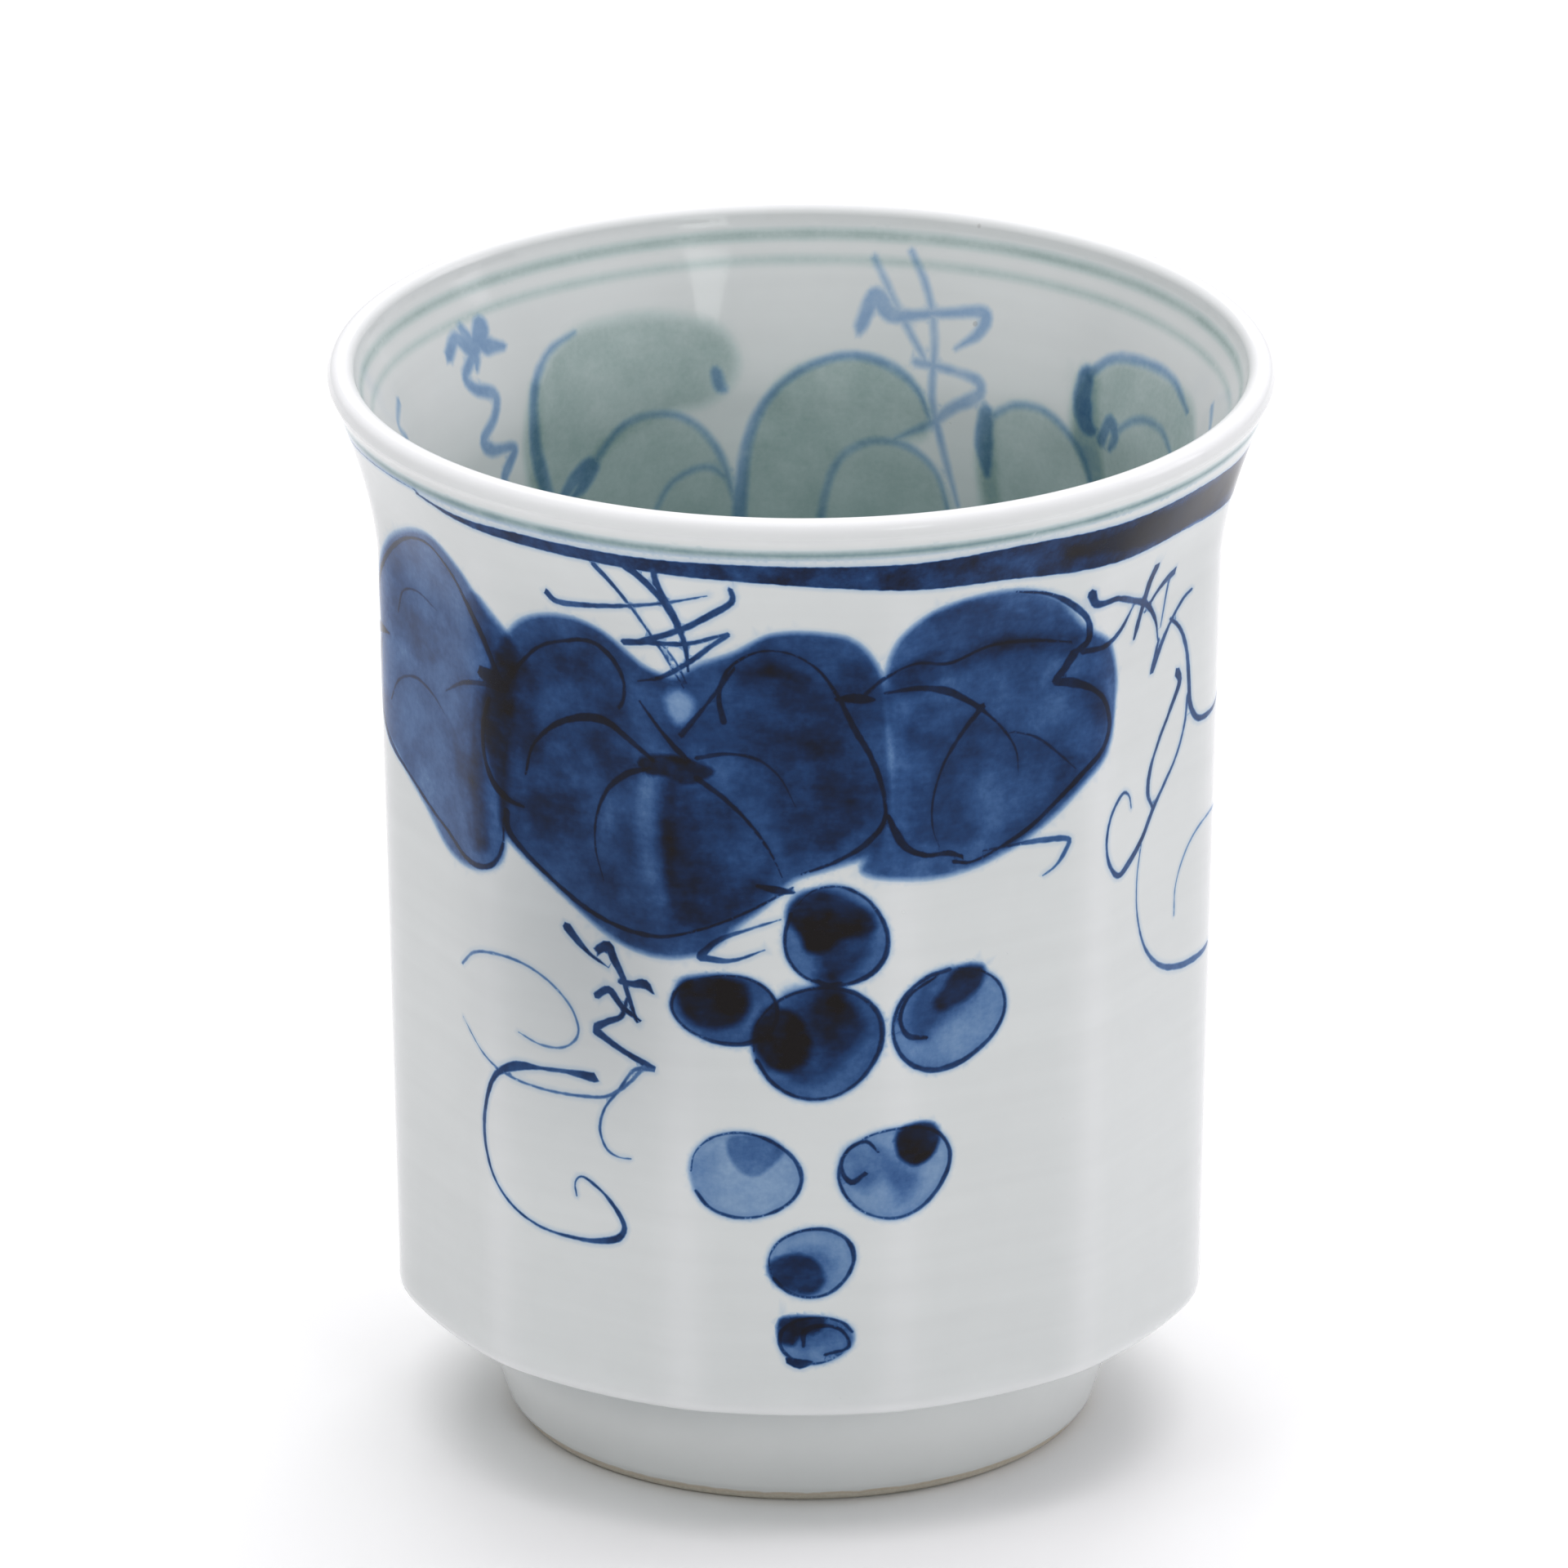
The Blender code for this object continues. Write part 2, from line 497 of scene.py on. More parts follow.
    def heart_leaf(self) -> list[Mark]:
        """The broad leaf in the middle, with its dark knots where the veins meet.

        Returns:
            Its washes, painted highlights and lines.
        """
        body = (
            (-47, 62), (-47, 66), (-44.5, 70), (-40.5, 73), (-34, 74.3), (-28, 73.8), (-24, 72.4),
            (-21, 71.4),
            (-17, 71), (-13.5, 72.2), (-9, 73.2), (-4, 74.8), (2, 75), (7, 74.3), (10.5, 71.5), (11.5, 66),
            (12, 60), (10, 57.2), (4, 55.8), (-1, 54.8), (-5, 52.6), (-9, 50.8), (-13, 48.9), (-20, 48.1),
            (-27, 48.9), (-33, 50.9), (-39, 53.2), (-44, 55.6), (-45, 58.6),
        )
        knot = (
            (-22.5, 63.6), (-20.5, 64.4), (-17.5, 64.7), (-14.5, 64.4), (-11.6, 63.6), (-13.2, 62.8),
            (-15.5, 62.4),
            (-18.5, 62.9), (-21, 62.8),
        )
        return [
            Wash(body, 0.68, 0.9),
            Wash(((-43, 66.5), (-40, 69), (-34, 70.5), (-27, 69.5), (-24, 66.5), (-30, 66.2), (-36, 64.5)),
                0.22, 1.4),
            Wash(((-46, 61), (-45, 65), (-39, 66), (-38, 62), (-42, 59)), 0.28, 1.6),
            Wash(((-10, 67.5), (-9, 71), (-4, 72.6), (2, 71.5), (6, 68), (9, 64), (10, 60), (4, 57.5),
                (-3, 58),
                (-6, 62)), 0.24, 1.8),
            Wash(((-39, 64), (-33, 65.6), (-26, 65.2), (-22, 62.6), (-27, 60.5), (-30, 57), (-36, 56.5),
                (-40, 59.5)), 0.26, 1.8),
            Wash(((-18, 62.5), (-13, 62.4), (-8, 60), (-4, 56.8), (-4, 53.8), (-10, 51.4), (-17, 51.4),
                (-18.6, 56.5)), 0.34, 1.0),
            Wash(((-17.5, 55), (-13.5, 56), (-8, 55.6), (-4.5, 54.4), (-9, 52), (-15, 51.6)), 0.34, 1.7),
            Sweep(((-17.6, 63), (-17.8, 58), (-17.5, 52.5)), (1.0, 0.9, 0.6), 0.36, 0.8),
            Sweep(((2, 66), (4.5, 62), (4, 58.5)), (2.2, 3.0, 2.0), 0.26, 1.6),
            Sweep(((-10, 71.6), (-5, 71.8), (1, 71.2)), (0.8, 1.1, 0.6), 0.3, 1.0),
            Sweep(((-38, 58), (-32, 54.4), (-25, 52.2), (-18, 51)), (2.4, 3.2, 2.8), 0.2, 1.8),
            Sweep(((-44, 58), (-36, 59), (-30, 60)), (0.8, 1.0, 0.6), 0.2, 1.0),
            # Negative tones: painted highlights of the glaze over the leaf, on the ridge and on the facet.
            Sweep(((-20.9, 62.2), (-21.3, 58.5), (-20.6, 54.6)), (1.3, 1.9, 1.2), -0.55, 1.3),
            Wash(((-18.3, 69.3), (-16.2, 70.1), (-14.2, 69), (-14.8, 67.6), (-16.6, 67.2)), -1.2, 1.1),
            Sweep(((-33, 62), (-29.5, 59), (-28.6, 56)), (2.0, 3.0, 2.2), -0.25, 2.0),
            Wash(knot, 0.96, 0.35),
            Line(
                ((-46, 66), (-47.3, 63.8), (-47.2, 61.2), (-45.5, 59.2), (-43, 58.2), (-40.6, 57.9)),
                (0.7, 0.9, 0.8, 1.1, 0.9), 0.86,
            ),
            Line(
                ((-43.4, 57.2), (-43.2, 55.8), (-40.5, 54.2), (-36, 52.4), (-31, 50.8), (-26, 49.9),
                (-20, 49.7),
                (-14, 50.6), (-8, 52), (-3.5, 53.4), (-1.2, 54.2)),
                (1.0, 0.9, 0.7, 0.8, 0.7, 0.8, 0.5, 0.5, 0.6, 0.7), 0.84,
            ),
            Line(
                ((-43, 67.8), (-40.6, 69.6), (-37.5, 71.3), (-33.5, 72.2), (-29.3, 72.6), (-26.2, 71.6),
                (-24.4, 69.9), (-24.6, 68.2), (-25.2, 67.7)),
                (1.2, 0.7, 0.6, 0.6, 0.7, 0.9, 0.7, 1.1), 0.8,
            ),
            Line(
                ((-40.2, 60.6), (-39, 63), (-35.8, 65), (-31.5, 66.2), (-27.5, 66.4), (-24, 65.4), (-20, 64)),
                (0.4, 0.6, 0.9, 1.2, 0.9, 1.1), 0.9,
            ),
            Line(
                ((-28, 53.4), (-29.2, 55.8), (-29, 58.4), (-27.2, 60.8), (-24, 62.5), (-20.5, 63.3)),
                (0.3, 0.4, 0.6, 0.9, 1.1), 0.82,
            ),
            Line(
                ((-10.4, 67.6), (-11, 69.6), (-9.8, 71.8), (-6, 73.3), (-2, 73.3), (2, 72), (4.8, 69.8),
                (7, 67.2),
                (9.6, 64.4), (11, 61.6), (11, 59.6), (8.6, 57.8), (4.5, 56.3), (0, 55.3)),
                (0.9, 0.7, 0.5, 0.4, 0.5, 0.7, 0.9, 0.8, 0.6, 0.9, 0.8, 0.7), 0.84,
            ),
            Line(((-14, 64.6), (-10, 65), (-6, 64.6), (-3, 63.2), (-0.8, 60.8)), (0.7, 0.5, 0.3), 0.72),
            Line(((-14, 63), (-10, 61.2), (-6.5, 59), (-4, 56.8), (-2.6, 55)), (0.9, 0.6, 0.4), 0.78),
            Line(((-22, 68.6), (-19.6, 67), (-17, 65.4), (-15, 64.4)), (0.4, 0.7, 1.0), 0.82),
            Line(((-16, 66.4), (-12.6, 69), (-9, 71.9)), (0.9, 0.6, 0.9), 0.8),
            Line(((4.6, 69.5), (7, 69.6), (9.6, 69.5)), (0.7, 1.3, 1.0), 0.95),
            Line(((-6, 54.3), (-3.4, 54), (-1, 53.8)), (0.6, 1.1, 0.8), 0.9),
            Line(((-13.6, 48.6), (-11.4, 49.8), (-7, 50.8), (-2.8, 51.6)), (1.1, 0.6, 0.4), 0.7),
            Line(((-13.6, 48.4), (-9.5, 48.2), (-5, 49.1)), (1.1, 0.6, 0.35), 0.72),
        ]

    def right_leaf(self) -> list[Mark]:
        """The leaf on the right, with a hooked stalk under it.

        Returns:
            Its washes, painted highlights and lines.
        """
        body = (
            (11, 70.5), (12.5, 74), (16.5, 76.2), (23, 77.2), (30, 77), (36, 75.4), (40.5, 72.6), (45, 70.6),
            (46.8, 66.5), (45.6, 62.2), (41, 59.8), (35, 57.2), (28, 55.4), (21, 54.6), (14, 54.8), (8, 55.6),
            (11.5, 59), (12, 64),
        )
        return [
            Wash(body, 0.63, 0.9),
            Wash(((11.5, 71), (16, 72.8), (24, 73.2), (33, 73), (40, 71.8), (38.5, 70.6), (30, 71.8),
                (21, 71),
                (14, 69.8)), 0.42, 1.0),
            Wash(((17, 75.8), (24, 76.6), (32, 75.8), (38.5, 73), (30, 73.2), (20, 73.4)), 0.18, 0.9),
            Wash(((14.6, 68.4), (22, 68.6), (26.5, 66.5), (31, 65), (38, 63), (42, 61.2), (35, 58.2),
                (27, 56.6), (20, 57),
                (14.8, 58.5), (14.4, 63)), 0.24, 1.0),
            Sweep(((36, 68.4), (41, 67.6), (43.6, 64.8), (42.6, 62.2)), (1.4, 2.0, 1.6, 1.0), 0.2, 0.9),
            # Negative tones: painted highlights of the glaze over the leaf, on the facet and on the ridge.
            Wash(((23, 61), (29, 62), (35.5, 60.6), (33, 58.2), (26, 57.2)), -0.42, 2.0),
            Sweep(((45.2, 67.6), (46.2, 64.8), (45, 62.4)), (0.9, 1.4, 0.9), -0.4, 0.9),
            Line(
                ((8.6, 70), (11, 71.2), (15, 72.2), (20, 71.8), (26, 72.6), (32, 72.4), (38.5, 71.6)),
                (0.7, 0.5, 0.6, 0.5, 0.7, 0.6), 0.8,
            ),
            Line(
                ((29, 77), (34, 76.2), (38, 74.8), (41, 73), (41.2, 71.4), (39.6, 70.8)),
                (0.4, 0.6, 0.9, 0.9, 1.5), 0.84,
            ),
            Line(
                ((39, 70.6), (37.4, 69.4), (36.2, 68.7), (38.6, 68.3), (42, 67.4), (44.6, 65.8), (45.4, 63.8),
                (44.2, 62.2), (41, 60.8), (37.5, 59.2), (33, 57.3), (28, 56), (23.5, 55.3), (21, 55.6)),
                (1.3, 1.0, 1.3, 0.8, 0.8, 0.9, 0.8, 0.9, 0.8, 0.7, 0.8, 0.6, 0.7, 1.1), 0.84,
            ),
            Line(
                ((11.6, 60), (12.4, 58.9), (14, 57.4), (17, 56.5), (20, 56.4), (22.2, 55.9)),
                (0.7, 1.2, 0.8, 0.7, 1.1), 0.88,
            ),
            Line(
                ((11, 70), (15, 70.2), (19.5, 69.6), (23, 68.4), (26, 67), (28.6, 65.4), (30.4, 63.6),
                (30.8, 61.6)),
                (0.5, 0.8, 1.1, 0.8, 0.5, 0.4, 0.3), 0.78,
            ),
            Line(
                ((25.2, 67.8), (22.4, 66.2), (19.4, 63.8), (17.8, 61), (17.8, 58.6), (18.8, 57)),
                (0.9, 0.7, 0.5, 0.4, 0.3), 0.76,
            ),
            Line(((30, 65.2), (33.5, 64.4), (36.8, 62.8), (39.6, 61.2)), (0.4, 0.5, 0.3), 0.7),
            Line(
                ((25.5, 56), (30, 56), (35, 55.9), (38.8, 55.5), (38.4, 54.8), (36.8, 53.6), (34.8, 53)),
                (0.4, 0.5, 0.8, 0.9, 0.7, 0.4), 0.68,
            ),
        ]

    def grapes(self) -> list[Mark]:
        """Eight grapes hanging in a narrowing cluster.

        Returns:
            The marks of all the berries and their stalks.
        """
        berries = (
            Grape(
                (-10.3, 44.2), (7.3, 3.0), 0.60,
                ((-0.85, 0.7), (-0.5, 0.88), (0, 0.88), (0.35, 0.7), (0.46, 0.2), (0.3, -0.3), (-0.1, -0.52),
                (-0.57, -0.45), (-0.86, 0)),
                0.88, 1.0,
            ),
            Grape(
                (4.6, 50.2), (7.6, 4.0), 0.50,
                ((-0.85, 0.62), (-0.6, 0.9), (-0.2, 0.95), (0.25, 0.8), (0.62, 0.5), (0.72, 0.2), (0.45, 0),
                (0.1, -0.05), (-0.2, -0.3), (-0.5, -0.3), (-0.65, 0.05), (-0.85, 0.3)),
                0.92, 0.9,
                ((-0.2, 0.4), (0.5, 0.4), (0.7, 0), (0.4, -0.6), (-0.1, -0.9), (-0.3, -0.5)), 0.5, (), 0.7,
                150,
            ),
            Grape(
                (2.2, 41.6), (9.2, 4.7), 0.56,
                ((-0.94, 0.26), (-0.77, 0.47), (-0.45, 0.58), (-0.23, 0.37), (-0.09, 0), (-0.18, -0.37),
                (-0.5, -0.53), (-0.77, -0.42), (-0.93, -0.1)),
                0.97, 0.9,
                ((-0.5, 0.85), (0, 0.95), (0.5, 0.75), (0.7, 0.2), (0.4, -0.3), (0, -0.7), (-0.4, -0.6),
                (-0.2, 0.2)),
                0.5, (), 0.7, 200,
            ),
            Grape(
                (20.6, 42.9), (8.5, 4.3), 0.38,
                ((0.02, 0.83), (0.3, 0.95), (0.62, 0.85), (0.56, 0.5), (0.13, 0.22), (-0.2, 0.16),
                (-0.3, 0.35),
                (-0.1, 0.6)),
                0.8, 0.8,
                ((-0.5, 0.75), (0.1, 0.9), (0.5, 0.5), (0.2, 0.1), (-0.2, -0.1), (-0.5, -0.3), (-0.75, 0),
                (-0.65, 0.4)),
                0.38, ((-0.25, 0.83), (-0.7, 0.55), (-0.85, 0.15), (-0.73, -0.2), (-0.4, -0.3)), 0.75, 90,
            ),
            Grape(
                (-7.8, 30.6), (8.2, 3.5), 0.29,
                ((-0.28, 0.87), (0.07, 0.95), (0.47, 0.87), (0.67, 0.6), (0.47, 0.25), (0.17, -0.02),
                (-0.08, 0.1),
                (-0.28, 0.5)),
                0.36, 0.5, ((-0.9, 0.2), (-0.5, 0.6), (-0.4, 0), (-0.6, -0.6)), 0.1, (), 0.6, 205, 330,
            ),
            Grape(
                (13, 30.9), (8.2, 3.8), 0.30,
                ((0.01, 0.87), (0.31, 1.02), (0.67, 0.94), (0.77, 0.6), (0.62, 0.23), (0.31, 0.1),
                (0.03, 0.36)),
                0.9, 0.6,
                ((-0.85, 0.5), (-0.3, 0.6), (0, 0.3), (0.4, -0.2), (0.1, -0.6), (-0.2, -0.1), (-0.5, -0.4),
                (-0.8, 0)),
                0.26, ((-0.3, 0.45), (-0.5, 0.68), (-0.8, 0.5), (-0.92, 0.1), (-0.75, -0.2), (-0.5, 0)),
                0.65, 160,
            ),
            Grape(
                (1.4, 23.5), (6.2, 2.9), 0.34,
                ((-1, -0.12), (-0.73, 0.14), (-0.2, 0.22), (0.17, -0.03), (0.3, -0.55), (-0.03, -0.93),
                (-0.54, -0.8), (-0.86, -0.55)),
                0.74, 0.6, ((-0.6, 0.1), (0.3, 0.4), (0.6, -0.2), (0.2, -0.8), (-0.5, -0.6)), 0.25, (),
                0.65, 210,
            ),
            Grape(
                (2.0, 17.1), (5.3, 2.0), 0.42,
                ((-0.97, 0.85), (-0.35, 1), (0.26, 0.85), (0.1, 0.35), (-0.43, 0.12), (-0.58, -0.25),
                (-0.94, -0.12)),
                0.84, 0.5, ((-0.5, 0.6), (0.5, 0.5), (0.4, -0.3), (-0.4, -0.4)), 0.25,
                ((0.26, -0.6), (0.88, -0.25), (0.72, 0.37), (0.26, 0.6), (-0.28, 0.37), (-0.32, -0.25)),
                0.6, 20, 300,
            ),
        )
        marks: list[Mark] = [mark for berry in berries for mark in berry.marks()]
        marks += [
            Sweep(((3.4, 46.6), (3.6, 44.8), (3.2, 42.6)), (2.0, 2.6, 2.0), 0.45, 1.2),
            Line(((2.2, 46.6), (3.6, 46.2), (5.4, 46.5)), (0.8, 1.0, 0.7), 0.8),
            Line(((-1.8, 15.4), (-0.2, 15.1), (1.4, 15.3)), (1.0, 1.3, 0.8), 0.88),
        ]
        return marks

    def upper_tendril(self) -> list[Mark]:
        """The crossed strokes that hang from the band over the middle leaf.

        Returns:
            Its strokes.
        """
        return [
            Line(((-35.4, 76.2), (-34.4, 75.6), (-30, 75.7), (-22, 76.6), (-12, 78.2)),
                (1.0, 0.8, 0.6, 0.4), 0.78),
            Line(((-9, 78.9), (-8.8, 77.9), (-12, 76.4), (-17, 74.7), (-24, 73.1)),
                (0.8, 1.0, 0.9, 0.9, 0.5), 0.84),
            Line(((-24.2, 73.2), (-20, 73.6), (-15, 73.9), (-9.6, 74.9)), (1.0, 0.8, 0.7, 0.7), 0.84),
            Line(((-9.6, 74.8), (-11, 74.2), (-15, 72.3), (-19, 70.8), (-22.2, 70.2)), (0.8, 0.8, 0.8, 0.5),
                0.82),
            Line(((-27, 79.8), (-24, 77.6), (-20.4, 74.6), (-17.4, 72), (-15.6, 70.2)),
                (0.9, 0.6, 0.5, 0.4), 0.78),
            Line(((-22.5, 80.2), (-19.5, 78.6), (-17, 76.4), (-15.4, 74), (-15, 71.6)),
                (1.2, 0.9, 0.9, 0.7), 0.86),
            Line(((-18.6, 80.4), (-18.6, 79.2), (-17.4, 77.4), (-15.8, 75.6)), (1.0, 0.9, 0.7), 0.84),
            Line(((-18.4, 73.6), (-16.6, 72.2), (-15.2, 70.6)), (0.5, 0.4), 0.7),
        ]

    def lower_tendril(self) -> list[Mark]:
        """The zigzag and long scrolls at the lower left.

        Returns:
            Its strokes.
        """
        return [
            Line(((-34, 48.9), (-33, 48.3), (-30.4, 47.1), (-27.4, 46.3)), (1.3, 1.0, 0.6, 0.5), 0.86),
            Line(((-29, 47.6), (-27.4, 48.1), (-26.6, 47.2), (-25.2, 45.8), (-24.2, 44.2), (-23, 42.4)),
                (1.2, 1.3, 1.0, 0.8, 0.9), 0.88),
            Line(((-25.6, 45.4), (-23.4, 45.4), (-21.6, 45.6), (-20.4, 45)), (0.9, 0.9, 1.3, 0.8), 0.88),
            Line(((-29.4, 43.8), (-27.4, 44.5), (-25.4, 43.4), (-22.4, 42.5)), (1.0, 1.1, 0.9, 0.8), 0.88),
            Line(((-29.6, 41.2), (-27.6, 41.9), (-25.4, 42.6), (-24.4, 44.4)), (1.1, 0.8, 0.7), 0.86),
            Line(((-29.6, 40.9), (-26.4, 40), (-23.6, 39.4), (-20.4, 38.9)), (1.2, 0.9, 0.9, 1.1), 0.88),
            Line(((-20.4, 38.8), (-23.4, 38.4), (-25.8, 36.6), (-28.4, 34.6), (-29.2, 32.8), (-28, 31.3),
                (-26, 30.9),
                (-24.2, 31)), (0.9, 0.6, 0.5, 0.5, 0.5, 0.4), 0.66),
            Line(((-22, 38.8), (-24.4, 37.2), (-28, 35.7), (-33, 35.2), (-39, 35.1), (-44, 35.5), (-49, 36.5),
                (-54.4, 38.5)), (0.7, 0.6, 0.5, 0.5, 0.4, 0.35), 0.56),
            Line(((-30, 37), (-33, 37), (-38, 36.8), (-43, 36.4), (-46.4, 35.2), (-48.6, 32.6), (-49.2, 29.8),
                (-47.6, 27), (-44, 24.9), (-39.5, 23.7), (-34.5, 23.4), (-29.6, 23.6), (-26.2, 24.3),
                (-25.4, 25.2),
                (-26.8, 26.6), (-29.4, 27.9), (-32.4, 28.6), (-33.4, 28), (-33.2, 26.9)),
                (1.3, 0.8, 0.6, 1.3, 0.9, 0.8, 0.8, 0.7, 0.5, 0.5, 0.5, 0.5, 0.7, 1.0, 0.9, 0.7, 0.7, 0.5),
                0.8),
            Line(((-54.2, 42.9), (-51, 44.4), (-46, 45.2), (-41, 45), (-36.4, 43.8), (-33.2, 42),
                (-32.5, 40.3),
                (-34.6, 39), (-38.6, 38.7), (-42.2, 39.3)), (0.55, 0.5, 0.45, 0.5, 0.5), 0.5),
        ]

    def right_tendril(self) -> list[Mark]:
        """The zigzag and loops at the right, running on round the cup.

        Returns:
            Its strokes.
        """
        return [
            Line(((41, 75.3), (42, 74.3), (46, 74.1), (50, 73.2), (54, 72.1), (56.4, 70.4), (57.2, 68.6)),
                (1.3, 0.9, 0.9, 0.9, 1.0, 0.8, 0.6), 0.86),
            Line(((40.4, 70.6), (44, 70.5), (47.6, 71.3), (50.4, 72.8)), (0.9, 0.8, 0.7), 0.78),
            Line(((54.8, 75.2), (53.8, 74), (53, 72.4), (51.8, 71), (50.8, 69.9)), (1.3, 1.2, 1.0, 1.0),
                0.86),
            Line(((60.6, 73.7), (58.6, 73.4), (56, 72.6), (53.6, 71.6)), (1.1, 0.8, 0.6), 0.78),
            Line(((59.4, 73.4), (58.8, 71.6), (57.8, 69.6)), (0.6, 0.5), 0.66),
            Line(((57.4, 68.6), (56.6, 67.6), (55.7, 66.3), (58.2, 68.2), (61, 69.8), (64, 70.9), (66, 71.2)),
                (0.6, 0.9, 1.0, 0.7, 0.7, 0.9), 0.76),
            Line(((60.4, 69.8), (62.8, 68.7), (64.8, 66.8), (65.8, 64), (66.4, 61.8), (68.4, 60.3), (72, 60),
                (77, 60.6), (83, 62.4), (87, 65.6), (86.5, 69), (83, 70.6), (79.5, 69.4)),
                (0.6, 0.8, 0.9, 1.0, 0.9, 0.7, 0.6, 0.5, 0.5, 0.6, 0.7, 0.4), 0.78),
            Line(((62.6, 65.1), (63.4, 64.3), (61, 62.3), (58, 60.2), (55.9, 58.1), (55.6, 56.4),
                (56.8, 55.2)),
                (1.2, 0.9, 0.7, 0.7, 1.0, 1.1), 0.8),
            Line(((65.6, 62.6), (65, 60.4), (63, 58.2), (60, 56.5), (57, 54.9), (54, 52.9), (51, 51.7),
                (48.4, 51.1),
                (46.2, 52.3), (45.4, 54.5), (46.6, 56.6), (49.2, 57.7), (50.6, 57.2), (51.2, 56.1)),
                (0.7, 0.6, 0.6, 0.7, 0.9, 0.9, 1.1, 0.8, 0.6, 0.6, 0.9, 0.5), 0.74),
            Line(((54.2, 52.8), (53.2, 50), (53.6, 46.8), (56, 43.7), (60.4, 41.5), (66, 40.5), (72, 40.4),
                (75, 40.6)),
                (0.4, 0.4, 0.5, 0.7, 0.9, 1.0, 1.3), 0.62),
            Line(((63.6, 45), (63.8, 47.4), (66, 49.6), (69.6, 51.1), (75, 51.6), (81, 50.4), (85, 47.2),
                (84, 43.4)),
                (0.4, 0.5, 0.5, 0.4), 0.46),
        ]

    def far_side(self) -> Painting:
        """The same vine on the back, mirrored and painted a little smaller.

        Returns:
            The painting of the back.
        """
        marks = self.heart_leaf() + self.right_leaf() + self.lower_tendril() + self.grapes()
        marks += self.right_tendril() + self.upper_tendril()
        return Painting(marks).moved(188, -1.5, 0.93, mirrored=True)

    def link(self) -> list[Mark]:
        """A tendril that ties the back to the left leaf.

        Returns:
            Its strokes.
        """
        return [
            Line(((-80, 60.6), (-86, 59.4), (-91, 60.8), (-94, 64), (-92, 67), (-88, 67.4), (-86.6, 65),
                (-89, 63)),
                (0.7, 0.6, 0.8, 0.9, 0.7, 0.5, 0.4), 0.76),
            Line(((-84, 54), (-90, 51.6), (-97, 51.4), (-103, 53.8), (-105, 57), (-102, 59), (-98.6, 57.6)),
                (0.9, 0.6, 0.5, 0.7, 0.8, 0.4), 0.62),
            Line(((-83, 73.6), (-88, 75.2), (-91, 73.4), (-95, 74.9), (-98, 72.9), (-102, 74.2)),
                (1.0, 0.8, 0.9, 0.8, 0.9, 0.6), 0.84),
        ]

    def painting(self) -> Painting:
        """All of the outside.

        Returns:
            The painting, with the band laid last.
        """
        marks = self.left_leaf() + self.heart_leaf() + self.right_leaf() + self.grapes()
        marks += self.upper_tendril() + self.lower_tendril() + self.right_tendril() + self.link()
        return Painting(marks + self.far_side().marks + self.rim_band())


